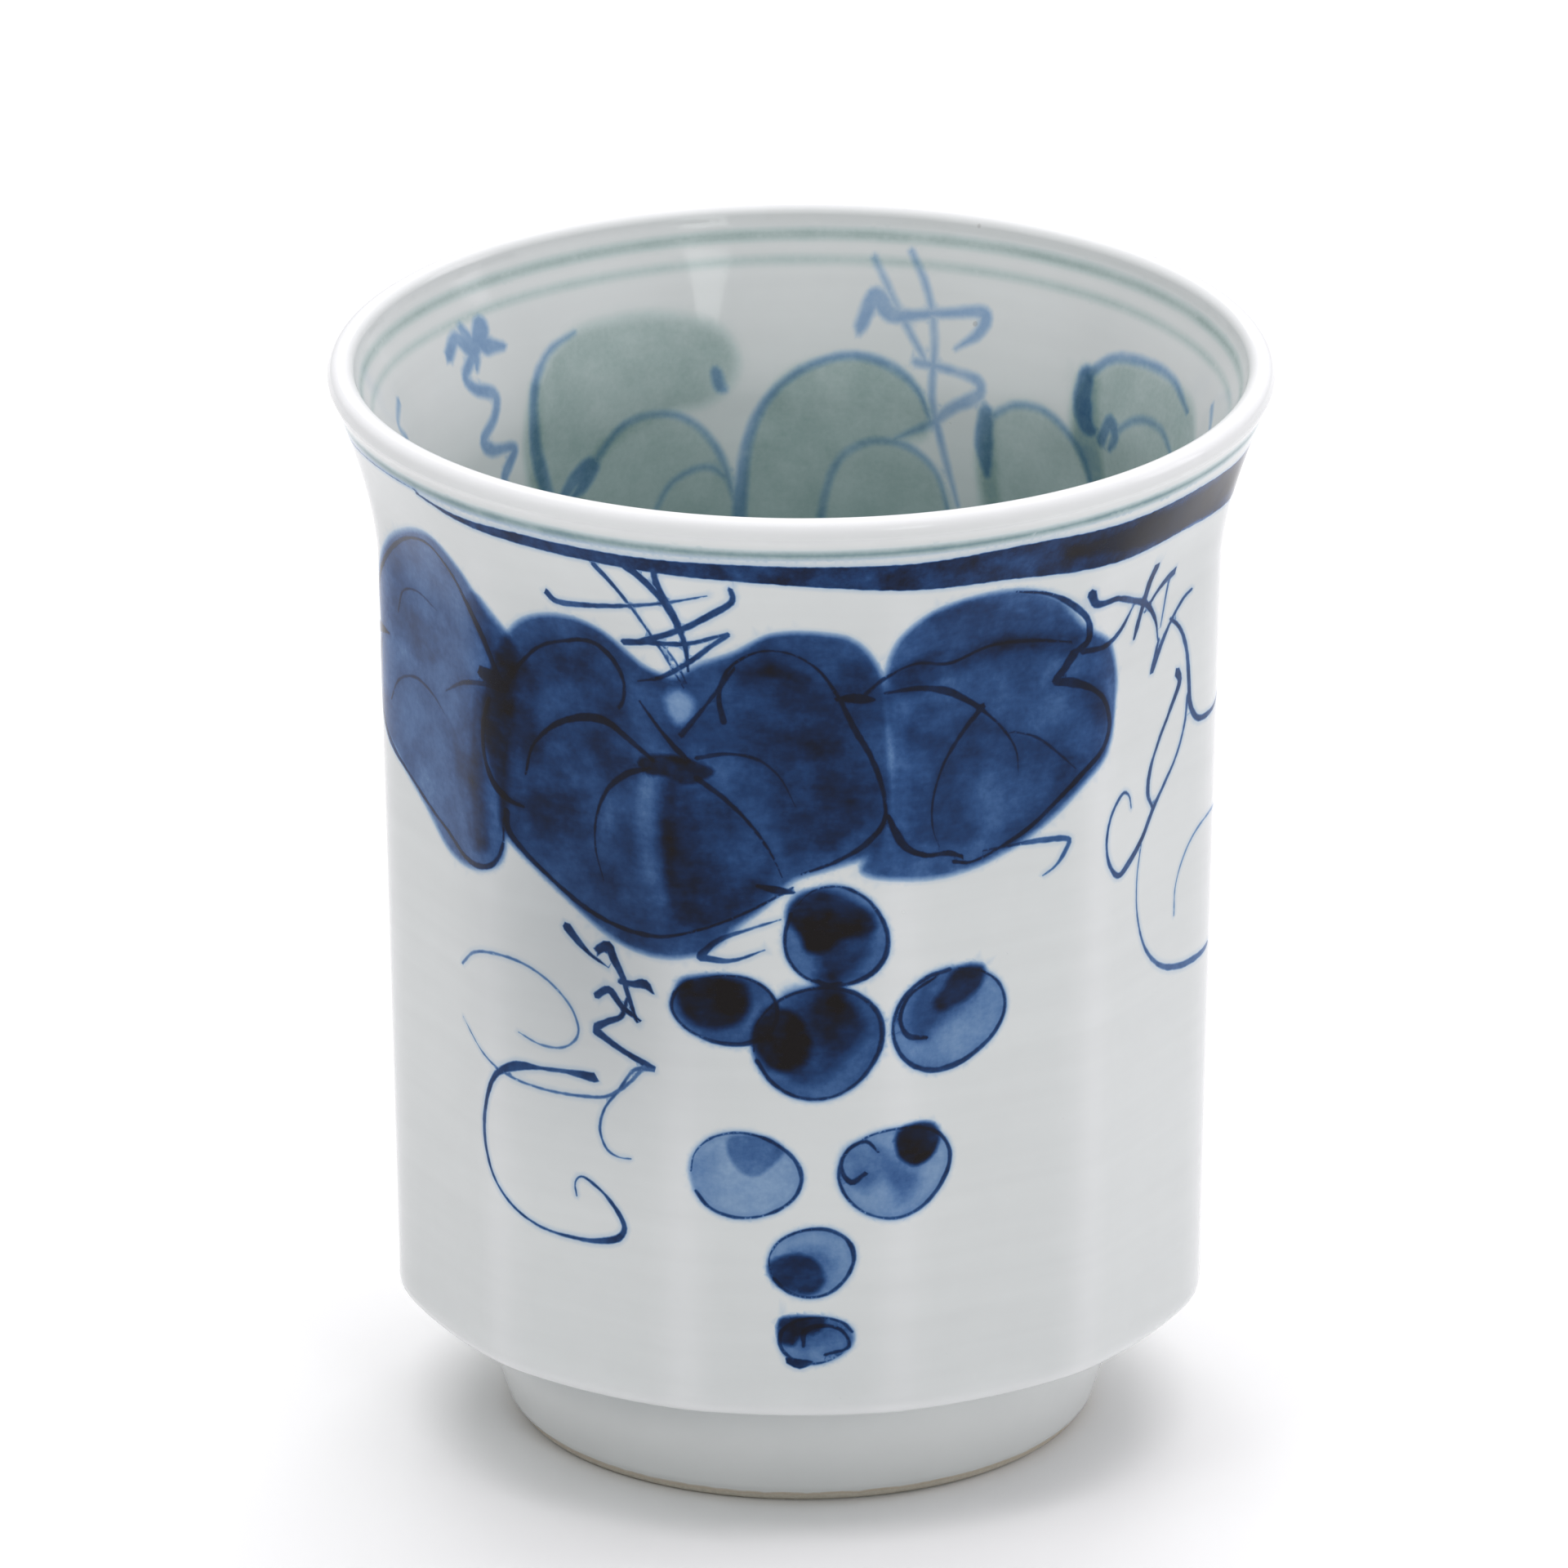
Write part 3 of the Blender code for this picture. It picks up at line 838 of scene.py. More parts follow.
class InsideVine:
    """The softer painting inside. Its angles are from the far wall and grow to the right of the drinker."""

    def rim_rings(self) -> list[Mark]:
        """Two faint rings below the lip.

        Returns:
            One sweep for each ring.
        """
        rings: list[Mark] = []
        for height, width, tone in ((82.9, 0.7, 0.36), (81.1, 0.6, 0.24)):
            path = tuple((turn, height + 0.15 * math.sin(math.radians(2 * turn))) for turn in full_turn())
            rings.append(Sweep(path, (width, 0.8 * width, 1.1 * width, 0.8 * width, width), tone, 0.8))
        return rings

    def leaves(self) -> list[Mark]:
        """Two curled leaves, each with a second lobe below, and two more to their right.

        Returns:
            Their washes and lines.
        """
        return [
            Wash(((-42, 60), (-43.8, 66), (-43.5, 71), (-41, 75), (-36, 77.2), (-27, 78), (-18, 77.6),
                (-11.5, 76.2),
                (-9.2, 73.8), (-10.6, 71.8), (-14, 70.6), (-20, 70.2), (-28, 69), (-35, 65.5), (-37, 60)),
                0.36, 1.8),
            Wash(((-38, 58), (-36, 65), (-31, 69), (-24, 70.2), (-17, 69.4), (-12, 66.6), (-9.6, 62),
                (-10.4, 56.6),
                (-15, 52.4), (-23, 50.6), (-32, 52.4), (-36.6, 55)), 0.34, 1.4),
            Wash(((-7, 56.4), (-9.4, 60), (-9, 64), (-6.6, 69.4), (-2, 72.8), (5, 74), (11, 74),
                (16.6, 72.6), (19.8, 70),
                (18.6, 68), (13, 67.6), (7, 66.6), (3.5, 63), (2.4, 57), (-2, 54.4)), 0.38, 1.4),
            Wash(((2.4, 57), (3, 62), (6, 66), (11, 67.6), (17, 67), (22, 64.2), (25, 59), (23, 54), (16, 51),
                (8, 51.6), (4, 54)), 0.34, 1.4),
            Wash(((29.6, 57), (28.2, 63), (28.6, 69), (32, 71.8), (38, 72.4), (44, 71), (49, 68),
                (51.6, 62), (49, 56),
                (42, 53), (34, 53.6)), 0.30, 1.6),
            Wash(((45, 71), (45.4, 75.2), (49, 77), (56, 78), (66, 78.2), (74, 77.4), (80, 74), (80, 66),
                (70, 62),
                (58, 62), (49, 68)), 0.34, 1.6),
            Sweep(((-42.4, 74), (-44, 71), (-43.4, 66.5), (-41, 62)), (1.4, 2.2, 1.8, 1.2), 0.3, 1.2),
            Sweep(((46, 75), (47, 72), (50, 68)), (2.6, 3.6, 2.4), 0.4, 1.6),
            Sweep(((29.2, 70.6), (29.2, 67), (30.4, 63)), (1.6, 2.2, 1.4), 0.3, 1.2),
            Line(((-40, 64), (-42.6, 68), (-43.6, 71), (-42.4, 74.4), (-39, 76.6), (-34, 77.6)),
                (1.3, 1.8, 1.4, 0.9, 0.5),
                0.7),
            Line(((-38.5, 65), (-36, 66.4), (-33.4, 67), (-35, 65.6), (-37, 64.8)), (1.3, 2.0, 1.2), 0.8),
            Line(((-33.6, 66.8), (-28, 69.8), (-22, 70.3), (-17, 69.4), (-12.6, 66.8), (-10, 62.6)),
                (0.8, 0.9, 0.8, 0.9, 1.1), 0.6),
            Line(((-12.6, 73), (-12, 71.8), (-11.2, 71.6)), (1.3, 1.5, 0.9), 0.8),
            Line(((-24, 61), (-20, 64.4), (-14, 65.4), (-10.4, 64)), (0.8, 0.7, 0.9), 0.55),
            Line(((-9.4, 58), (-9, 64), (-7.4, 68.4), (-4.4, 71.2), (0.6, 73.2), (7, 74.2), (13, 73.6),
                (17.6, 71.8),
                (19.6, 69.6)), (1.8, 1.6, 1.3, 0.9, 0.9, 1.1, 0.9), 0.7),
            Line(((3, 56), (3.4, 62.4), (6, 66), (10.4, 67.4), (16, 67.2), (20.6, 65.4), (23, 62)),
                (1.2, 0.9, 0.8),
                0.55),
            Line(((29, 71), (28.7, 68.6), (29.4, 66)), (1.8, 2.2, 1.2), 0.85),
            Line(((30, 70.8), (33.6, 72), (38.6, 72.2), (43.4, 71), (47.6, 68.6), (50, 65)),
                (0.9, 0.8, 1.0, 0.8), 0.6),
            Line(((45.6, 75.6), (45.8, 73.6), (47.4, 72), (49, 71.8)), (2.0, 2.4, 1.6), 0.95),
            Line(((46, 75.8), (50, 77.5), (57, 78.3), (65, 78.3), (72, 77)), (1.2, 1.0, 0.8), 0.7),
            Line(((51, 71.4), (52.6, 73), (54.4, 72.2), (53.2, 71)), (1.6, 1.6, 1.2), 0.85),
            Line(((54, 72.4), (59, 74.2), (66, 74.6), (72, 73)), (0.9, 0.9, 0.6), 0.6),
        ]

    def tendrils(self) -> list[Mark]:
        """Zigzags between the leaves.

        Returns:
            Their strokes.
        """
        return [
            Line(((-58.6, 79), (-55.6, 79.9), (-53, 78.6), (-50, 80), (-50.6, 78.8), (-46.6, 78)),
                (1.4, 1.6, 2.0, 1.4), 0.85),
            Line(((-54, 80.4), (-52.6, 78.6), (-53.4, 77.2)), (1.2, 1.6, 1.0), 0.8),
            Line(((-52, 78.6), (-56.4, 77), (-55, 76), (-50.8, 74.8), (-52, 73.4), (-55.6, 72), (-53.6, 71),
                (-48, 70.2),
                (-50.6, 68.2), (-48.6, 66)), (1.4, 1.2, 1.4, 1.2, 1.5, 1.1, 1.7, 1.0), 0.85),
            Line(((8.6, 76.4), (10.6, 78.6), (13, 77.4), (20, 77.8), (27, 78.2), (26.6, 77), (23, 75.4)),
                (1.4, 1.9, 1.1, 1.0, 1.5, 0.8), 0.7),
            Line(((15, 82), (17.8, 79.4), (19.6, 76), (20, 71), (22, 67), (24.4, 63)), (0.7, 1.0, 1.0, 0.9),
                0.6),
            Line(((10, 81.4), (13, 78.6), (16.6, 75.6), (19, 73.8)), (0.7, 0.9, 0.8), 0.6),
            Line(((17, 74), (22, 73.8), (27.6, 73.2), (27.8, 72.4), (23.6, 71), (20, 69.4), (14.4, 67.8)),
                (1.1, 0.9, 1.5, 1.1, 0.8), 0.6),
            Line(((80, 79), (84, 77.6), (82, 76), (88, 75), (86, 73.4), (91, 72.4)), (1.0, 0.9, 1.1, 0.8),
                0.64),
            Line(((-76, 78.6), (-80, 77.4), (-78, 75.8), (-84, 75), (-82, 73)), (1.0, 0.9, 1.1, 0.8), 0.64),
        ]

    def near_side(self) -> Painting:
        """The same leaves on the wall nearest the drinker."""
        return Painting(self.leaves() + self.tendrils()).moved(182, -0.6, 0.96, mirrored=True)

    def painting(self) -> Painting:
        """All of the inside."""
        return Painting(self.leaves() + self.tendrils() + self.near_side().marks + self.rim_rings())


# ---- from brushwork to ink on the surface


WALL_RADIUS = 33.0
MM_PER_DEGREE = math.radians(1.0) * WALL_RADIUS
FULL_TURN_MM = 360.0 * MM_PER_DEGREE
NO_LINE_MM = -1.5
WASH_STEP, LINE_STEP, SWEEP_STEP = 0.5, 0.35, 0.6
FELT_BEYOND_EDGE = 1.6
SHORTEST = 1e-9


def bell(off: np.ndarray, half: float) -> np.ndarray:
    """1 at no distance, falling off smoothly over about the half width."""
    return np.exp(-((off / half) ** 2))


def flat_path(path: Path) -> np.ndarray:
    """A path's rows in millimetres round the wall and millimetres up."""
    return np.array(path, float) * (MM_PER_DEGREE, 1.0)


def curved(rows: np.ndarray, closed: bool, step: float) -> np.ndarray:
    """A smooth curve through the rows, with no overshoot at tight turns.

    Args:
        rows: Points in millimetres.
        closed: Whether the last point joins the first.
        step: Distance between the points of the result.

    Returns:
        Closely spaced points.
    """
    if closed:
        ends = [rows[-1], *rows, rows[0], rows[1]]
    else:
        ends = [2 * rows[0] - rows[1], *rows, 2 * rows[-1] - rows[-2]]
    pieces = []
    for a, b, c, d in zip(ends, ends[1:], ends[2:], ends[3:]):
        gaps = [max(float(np.hypot(*(q - p))), 1e-3) ** 0.5 for p, q in ((a, b), (b, c), (c, d))]
        out_of_b = (b - a) / gaps[0] - (c - a) / (gaps[0] + gaps[1]) + (c - b) / gaps[1]
        into_c = (c - b) / gaps[1] - (d - b) / (gaps[1] + gaps[2]) + (d - c) / gaps[2]
        count = max(2, int(math.ceil(float(np.hypot(*(c - b))) / step)) + 1)
        t = np.linspace(0.0, 1.0, count)[:-1, None]
        pieces.append(
            (2 * t**3 - 3 * t**2 + 1) * b + (t**3 - 2 * t**2 + t) * gaps[1] * out_of_b
            + (3 * t**2 - 2 * t**3) * c + (t**3 - t**2) * gaps[1] * into_c
        )
    tail = [] if closed else [rows[-1:]]
    return np.concatenate(pieces + tail)


def half_widths(rows: np.ndarray, widths: Sequence[float], tapered: bool) -> np.ndarray:
    """Half the stroke's width at each point, spread evenly along its length.

    Args:
        rows: The stroke's path.
        widths: Widths of the brush as it is pressed down along the way.
        tapered: Whether a lightly held brush leaves less than its width, and lifts off thin.

    Returns:
        One half width for each of the rows.
    """
    steps = np.hypot(*np.diff(rows, axis=0).T)
    share = np.concatenate([[0.0], np.cumsum(steps)]) / max(steps.sum(), SHORTEST)
    given = np.linspace(0.0, 1.0, len(widths)) if len(widths) > 1 else np.zeros(1)
    width = np.interp(share, given, widths)
    if tapered:
        touch = np.minimum(1.0, 0.46 + 0.16 * width)
        width = width * touch * (1 - 0.45 * eased((share - 0.8) / 0.2))
    return 0.5 * width


def stroke_edge(at: np.ndarray, rows: np.ndarray, half: np.ndarray) -> np.ndarray:
    """How far inside a stroke's edge each point lies.

    Args:
        at: Points to measure.
        rows: The stroke's closely spaced path.
        half: Half its width at each of the rows.

    Returns:
        Millimetres, positive inside.
    """
    start, run = rows[:-1], np.diff(rows, axis=0)
    size = np.maximum((run**2).sum(axis=1), SHORTEST)
    away = at[:, None, :] - start[None]
    share = np.clip((away * run[None]).sum(axis=2) / size[None], 0.0, 1.0)
    gap = np.hypot(*np.moveaxis(away - share[..., None] * run[None], 2, 0))
    return (half[:-1][None] + share * np.diff(half)[None] - gap).max(axis=1)


def outline_edge(at: np.ndarray, rows: np.ndarray) -> np.ndarray:
    """How far inside a closed outline each point lies.

    Args:
        at: Points to measure.
        rows: The outline's closely spaced path.

    Returns:
        Millimetres, positive inside.
    """
    ring = np.concatenate([rows, rows[:1]])
    gap = -stroke_edge(at, ring, np.zeros(len(ring)))
    x0, y0 = ring[:-1].T
    x1, y1 = ring[1:].T
    x, y = at[:, :1], at[:, 1:]
    spans = (y0[None] > y) != (y1[None] > y)
    rise = np.where(np.abs(y1 - y0) < SHORTEST, SHORTEST, y1 - y0)
    left_of = x < (x1 - x0)[None] * (y - y0[None]) / rise[None] + x0[None]
    crossings = (spans & left_of).sum(axis=1)
    return np.where(crossings % 2 == 1, gap, -gap)


@dataclass(frozen=True)
class Stroke:
    """One mark made ready to measure. Half widths are None where the rows close round a wash."""

    rows: np.ndarray
    half: np.ndarray | None
    tone: float
    softness: float
    crisp: bool

    @staticmethod
    def of(mark: Mark) -> "Stroke":
        """The measurable stroke of a mark.

        Args:
            mark: The mark.

        Returns:
            Its stroke, crisp for a line and soft for a wash or a sweep.
        """
        flat = flat_path(mark.path)
        if isinstance(mark, Wash):
            return Stroke(curved(flat, True, WASH_STEP), None, mark.tone, mark.softness, False)
        if isinstance(mark, Line):
            rows = curved(flat, False, LINE_STEP)
            return Stroke(rows, half_widths(rows, mark.widths, True), mark.tone, 0.0, True)
        rows = curved(flat, False, SWEEP_STEP)
        return Stroke(rows, half_widths(rows, mark.widths, False), mark.tone, mark.softness, False)

    def edge(self, at: np.ndarray) -> np.ndarray:
        """How far inside the stroke each point lies, in millimetres."""
        return outline_edge(at, self.rows) if self.half is None else stroke_edge(at, self.rows, self.half)

    def reach(self) -> float:
        """How far from its path the stroke can be felt, in millimetres."""
        return FELT_BEYOND_EDGE + (0.0 if self.half is None else float(self.half.max()))

    def guides(self) -> list[np.ndarray]:
        """Rows of mesh points that carry the stroke's edges.

        Returns:
            The most needed rows first. Every second point is left out of the others, except along a sweep.
        """
        run = np.gradient(self.rows, axis=0)
        run /= np.maximum(np.hypot(*run.T), SHORTEST)[:, None]
        across = np.stack([-run[:, 1], run[:, 0]], axis=1)
        half = np.zeros((len(self.rows), 1)) if self.half is None else self.half[:, None]
        if self.crisp:
            close, wide, broad_line = 0.2, 0.6, 0.3
            offsets = [0 * half, -half, half, -half - close, half + close, -half - wide, half + wide]
            offsets += [sign * 0.5 * half for sign in (-1, 1) if half.max() > broad_line]
        else:
            steps = np.array([0.0, -0.33, 0.33, -0.65, 0.65]) * min(max(self.softness, 0.5), 2.0)
            sides = (1,) if self.half is None else (-1, 1)
            offsets = [side * (half + step) for side in sides for step in steps]
        whole = 3 if self.crisp or self.half is None else len(offsets)
        rows = [self.rows + across * offset for offset in offsets[:whole]]
        return rows + [(self.rows + across * offset)[::2] for offset in offsets[whole:]]


@dataclass(frozen=True)
class Ink:
    """Cobalt on a face of the wall, ready to be read at any point of it."""

    strokes: tuple[Stroke, ...]

    @staticmethod
    def of(painting: Painting) -> "Ink":
        """The ink that a painting lays."""
        return Ink(tuple(Stroke.of(mark) for mark in painting.marks))

    def guides(self) -> np.ndarray:
        """Mesh points that carry every stroke.

        Returns:
            The middles of lines first, then their edges, then all the others.
        """
        lines = [stroke.guides() for stroke in self.strokes if stroke.crisp]
        middles = [row for guides in lines for row in guides[:1]]
        edges = [row for guides in lines for row in guides[1:3]]
        rest = [row for guides in lines for row in guides[3:]]
        rest += [row for stroke in self.strokes if not stroke.crisp for row in stroke.guides()]
        return np.concatenate(middles + edges + rest)

    def read(self, at: np.ndarray) -> np.ndarray:
        """What the ink is at each point.

        Args:
            at: Rows of millimetres round the wall and millimetres up.

        Returns:
            Rows of wash depth, millimetres inside the nearest line's edge, and that line's depth.
        """
        most_at_once = 4000
        clear = np.ones(len(at))
        edge = np.full(len(at), NO_LINE_MM)
        tone = np.zeros(len(at))
        for stroke in self.strokes:
            low = stroke.rows.min(axis=0) - stroke.reach()
            high = stroke.rows.max(axis=0) + stroke.reach()
            for turn in (-FULL_TURN_MM, 0.0, FULL_TURN_MM):
                shifted = at + (turn, 0.0)
                near = np.flatnonzero(((shifted > low) & (shifted < high)).all(axis=1))
                for part in np.array_split(near, len(near) // most_at_once + 1):
                    if not len(part):
                        continue
                    inside = stroke.edge(shifted[part])
                    if stroke.crisp:
                        nearer = part[inside > edge[part]]
                        edge[part] = np.maximum(edge[part], inside)
                        tone[nearer] = stroke.tone
                    else:
                        clear[part] *= 1 - stroke.tone * eased(inside / stroke.softness + 0.5)
                        np.minimum(clear, 1.0, out=clear)
        return np.stack([1 - clear, edge, tone], axis=1)


# ---- meshes


@dataclass
class Sheet:
    """A stretch of surface before it is joined to its neighbours."""

    degrees: np.ndarray
    walked: np.ndarray
    faces: np.ndarray
    ink: np.ndarray
    map: np.ndarray


@dataclass(frozen=True)
class MapStrip:
    """The rectangle of the flat map that a sheet is laid out on: its left, bottom, width and height."""

    left: float
    bottom: float
    width: float
    height: float

    def place(self, across: np.ndarray, up: np.ndarray) -> np.ndarray:
        """Map rows for shares across and up the sheet."""
        return np.stack([self.left + self.width * across, self.bottom + self.height * up], axis=1)


@dataclass
class Shell:
    """Sheets of one turned section, joined into a closed mesh."""

    form: CupForm
    section: Section
    sheets: list[Sheet] = field(default_factory=list)
    columns: int = 240
    seam_deg: float = -90.0
    row_gap: float = 0.33
    border_gap: float = 0.22
    point_gap: float = 0.125
    ground_gap: float = 1.5

    def add_bands(self, walked: np.ndarray, strip: MapStrip) -> None:
        """Adds a plain stretch of regular quads, split into triangles.

        Args:
            walked: Distances along the section, one for each row of points.
            strip: Where it lies on the flat map.
        """
        turn = np.linspace(self.seam_deg, self.seam_deg + 360.0, self.columns + 1)
        degrees, along = (grid.reshape(-1) for grid in np.meshgrid(turn, walked))
        share = (along - walked[0]) / (walked[-1] - walked[0])
        corner = np.arange(len(walked) - 1)[:, None] * len(turn) + np.arange(self.columns)[None]
        a, b, c, d = corner, corner + 1, corner + len(turn) + 1, corner + len(turn)
        halves = [np.stack(half, -1).reshape(-1, 3) for half in ((a, b, c), (a, c, d))]
        ink = np.tile((0.0, NO_LINE_MM, 0.0), (len(degrees), 1))
        place = strip.place((degrees - self.seam_deg) / 360, share)
        self.sheets.append(Sheet(degrees, along, np.concatenate(halves), ink, place))

    def add_painted(
        self, walked: tuple[float, float], ink: Ink, first_deg: float, strip: MapStrip
    ) -> None:
        """Adds half a turn of the wall, with points crowded along the brushwork.

        Args:
            walked: Where the stretch starts and ends along the section.
            ink: The cobalt on it.
            first_deg: Where the half turn starts.
            strip: Where it lies on the flat map.
        """
        length, height = self.section.length, self.section.height
        low, high = sorted(float(np.interp(end, length, height)) for end in walked)
        left, right = first_deg * MM_PER_DEGREE, (first_deg + 180.0) * MM_PER_DEGREE
        columns = np.linspace(left, right, self.columns // 2 + 1)
        rows = np.linspace(low, high, int((high - low) / self.row_gap) + 1)[1:-1]
        border = [np.stack([columns, np.full_like(columns, end)], 1) for end in (low, high)]
        border += [np.stack([np.full_like(rows, end), rows], 1) for end in (left, right)]
        inner = np.concatenate([self.spread(ink.guides()), self.ground_points(left, right, low, high)])
        keep = (inner[:, 0] > left + self.border_gap) & (inner[:, 0] < right - self.border_gap)
        keep &= (inner[:, 1] > low + self.border_gap) & (inner[:, 1] < high - self.border_gap)
        inner = inner[keep]
        cells = np.floor(inner / self.point_gap).astype(np.int64)
        _, first = np.unique(cells, axis=0, return_index=True)
        points = np.concatenate([*border, inner[np.sort(first)]])
        corners, faces = self.triangulated(points)
        points = points[corners]
        along = np.interp(points[:, 1], *self.climb(walked))
        place = strip.place((points[:, 0] - left) / (right - left), (points[:, 1] - low) / (high - low))
        self.sheets.append(Sheet(points[:, 0] / MM_PER_DEGREE, along, faces, ink.read(points), place))

    def climb(self, walked: tuple[float, float]) -> tuple[np.ndarray, np.ndarray]:
        """Heights along one stretch of wall, with the distance walked at each.

        Args:
            walked: Where the stretch starts and ends along the section.

        Returns:
            Rising heights, and their distances.
        """
        steps = 400
        along = np.linspace(min(walked), max(walked), steps)
        heights = np.interp(along, self.section.length, self.section.height)
        return (heights, along) if heights[-1] > heights[0] else (heights[::-1], along[::-1])

    def spread(self, points: np.ndarray) -> np.ndarray:
        """The points repeated a turn to each side, so that no stretch misses them."""
        return np.concatenate([points + (turn * FULL_TURN_MM, 0.0) for turn in (-1, 0, 1)])

    def ground_points(self, left: float, right: float, low: float, high: float) -> np.ndarray:
        """Loose points over plain glaze, and closer ones along the facet ridges.

        Args:
            left: First distance round.
            right: Last distance round.
            low: Lowest height.
            high: Highest height.

        Returns:
            Rows of millimetres.
        """
        gap, most_moved, row_step = self.ground_gap, 0.35, 1.0
        across, up = np.meshgrid(np.arange(left, right, gap), np.arange(low, high, gap))
        rng = np.random.default_rng(11)
        loose = np.stack([across.reshape(-1), up.reshape(-1)], 1)
        loose = loose + rng.uniform(-most_moved, most_moved, loose.shape) * gap
        facets = self.form.facets
        ridges = self.form.first_ridge_deg + 360.0 / facets * np.arange(-2 * facets, 2 * facets + 1)
        beside_ridge = np.array([-2.6, -1.3, 0.0, 1.3, 2.6])
        columns = (ridges[:, None] + beside_ridge[None]).reshape(-1) * MM_PER_DEGREE
        columns = columns[(columns > left) & (columns < right)]
        across, up = np.meshgrid(columns, np.arange(low, high, row_step))
        return np.concatenate([np.stack([across.reshape(-1), up.reshape(-1)], 1), loose])

    def triangulated(self, points: np.ndarray) -> tuple[np.ndarray, np.ndarray]:
        """Delaunay triangles over a rectangle of points.

        Args:
            points: Rows of millimetres.

        Returns:
            Which points were used, and rows of three places in that list.
        """
        same_place = 1e-5
        vectors = [Vector(row) for row in points.tolist()]
        _, _, faces, sources, _, _ = delaunay_2d_cdt(vectors, [], [], 0, same_place, True)
        return np.array([source[0] for source in sources]), np.array(faces)

    def joined(self, name: str) -> bpy.types.Mesh:
        """One closed mesh of all the sheets, smooth-shaded from the section's own slopes.

        Args:
            name: The mesh's name.

        Returns:
            The mesh, with its map and the ink and glaze that the finish reads.
        """
        starts = np.cumsum([0] + [len(sheet.degrees) for sheet in self.sheets])
        degrees = np.concatenate([sheet.degrees for sheet in self.sheets])
        walked = np.concatenate([sheet.walked for sheet in self.sheets])
        faces = np.concatenate([sheet.faces + start for sheet, start in zip(self.sheets, starts)])
        points, normals = self.section.surface(self.form, degrees, walked)
        a, b, c = (points[faces[:, i]] for i in range(3))
        facing = np.cross(b - a, c - a)
        flip = (facing * normals[faces].sum(axis=1)).sum(axis=1) < 0
        faces[flip] = faces[flip][:, ::-1]
        on_axis = np.hypot(points[:, 0], points[:, 1]) < 1e-6
        around = np.round(np.mod(degrees - self.seam_deg, 360.0), 3)
        key = np.stack([np.where(on_axis, 0.0, np.mod(around, 360.0)), np.round(walked, 3)], axis=1)
        _, first, same = np.unique(key, axis=0, return_index=True, return_inverse=True)
        welded = same.reshape(-1)[faces]
        a, b, c = welded.T
        whole = (a != b) & (b != c) & (a != c)
        map_rows = np.concatenate([sheet.map for sheet in self.sheets])[faces[whole]].reshape(-1, 2)
        ink = np.concatenate([sheet.ink for sheet in self.sheets])[first]
        mesh = mesh_of(name, points[first], welded[whole], normals[first])
        add_attribute(mesh, "ink", ink)
        add_attribute(mesh, "glaze", self.glaze(degrees[first], walked[first]))
        layer = mesh.uv_layers.new(name="OFBake")
        layer.data.foreach_set("uv", map_rows.astype(np.float32).reshape(-1))
        return mesh

    def glaze(self, degrees: np.ndarray, walked: np.ndarray) -> np.ndarray:
        """Three numbers at each point that say how the glaze lies, worked out by each kind of shell."""
        raise NotImplementedError


def mesh_of(name: str, points: np.ndarray, triangles: np.ndarray, normals: np.ndarray) -> bpy.types.Mesh:
    """A smooth mesh of triangles with the given vertex normals.

    Args:
        name: The mesh's name.
        points: Rows of metres.
        triangles: Rows of three vertices.
        normals: One unit row for each point.

    Returns:
        The mesh.
    """
    mesh = bpy.data.meshes.new(name)
    mesh.vertices.add(len(points))
    mesh.vertices.foreach_set("co", points.astype(np.float32).reshape(-1))
    mesh.loops.add(3 * len(triangles))
    mesh.loops.foreach_set("vertex_index", triangles.astype(np.int32).reshape(-1))
    mesh.polygons.add(len(triangles))
    mesh.polygons.foreach_set("loop_start", np.arange(0, 3 * len(triangles), 3, dtype=np.int32))
    mesh.update(calc_edges=True)
    mesh.validate()
    mesh.shade_smooth()
    mesh.normals_split_custom_set_from_vertices([tuple(row) for row in normals.tolist()])
    return mesh


def add_attribute(mesh: bpy.types.Mesh, name: str, rows: np.ndarray) -> None:
    """Stores a row of three numbers at each vertex."""
    layer = mesh.attributes.new(name, "FLOAT_VECTOR", "POINT")
    layer.data.foreach_set("vector", rows.astype(np.float32).reshape(-1))


# ---- finishes


class Value:
    """A number on a node socket, worked with as in ordinary arithmetic."""

    def __init__(self, bench: "Bench", socket: bpy.types.NodeSocket) -> None:
        """Wraps an output socket.

        Args:
            bench: Where further nodes are added.
            socket: The socket that gives the number.
        """
        self.bench = bench
        self.socket = socket

    def joined(self, operation: str, *operands: Any) -> "Value":
        """The result of a Math node on the operands."""
        node = self.bench.node("ShaderNodeMath", {"operation": operation}, dict(enumerate(operands)))
        return Value(self.bench, node.outputs[0])

    def __add__(self, other: Any) -> "Value":
        """Sum."""
        return self.joined("ADD", self, other)

    def __radd__(self, other: Any) -> "Value":
        """Sum, with the number first."""
        return self.joined("ADD", other, self)

    def __sub__(self, other: Any) -> "Value":
        """Difference."""
        return self.joined("SUBTRACT", self, other)

    def __rsub__(self, other: Any) -> "Value":
        """Difference, with the number first."""
        return self.joined("SUBTRACT", other, self)

    def __mul__(self, other: Any) -> "Value":
        """Product."""
        return self.joined("MULTIPLY", self, other)

    def __rmul__(self, other: Any) -> "Value":
        """Product, with the number first."""
        return self.joined("MULTIPLY", other, self)

    def held(self) -> "Value":
        """The number kept between 0 and 1."""
        return self.joined("MINIMUM", self.joined("MAXIMUM", self, 0.0), 1.0)

    def rise(self, low: float, high: float) -> "Value":
        """How far the number has risen through a range.

        Args:
            low: Where the range starts.
            high: Where it ends.

        Returns:
            0 below the range, 1 above it, and eased between.
        """
        settings = {"interpolation_type": "SMOOTHSTEP"}
        sockets = {"Value": self, "From Min": low, "From Max": high}
        node = self.bench.node("ShaderNodeMapRange", settings, sockets)
        return Value(self.bench, node.outputs["Result"])


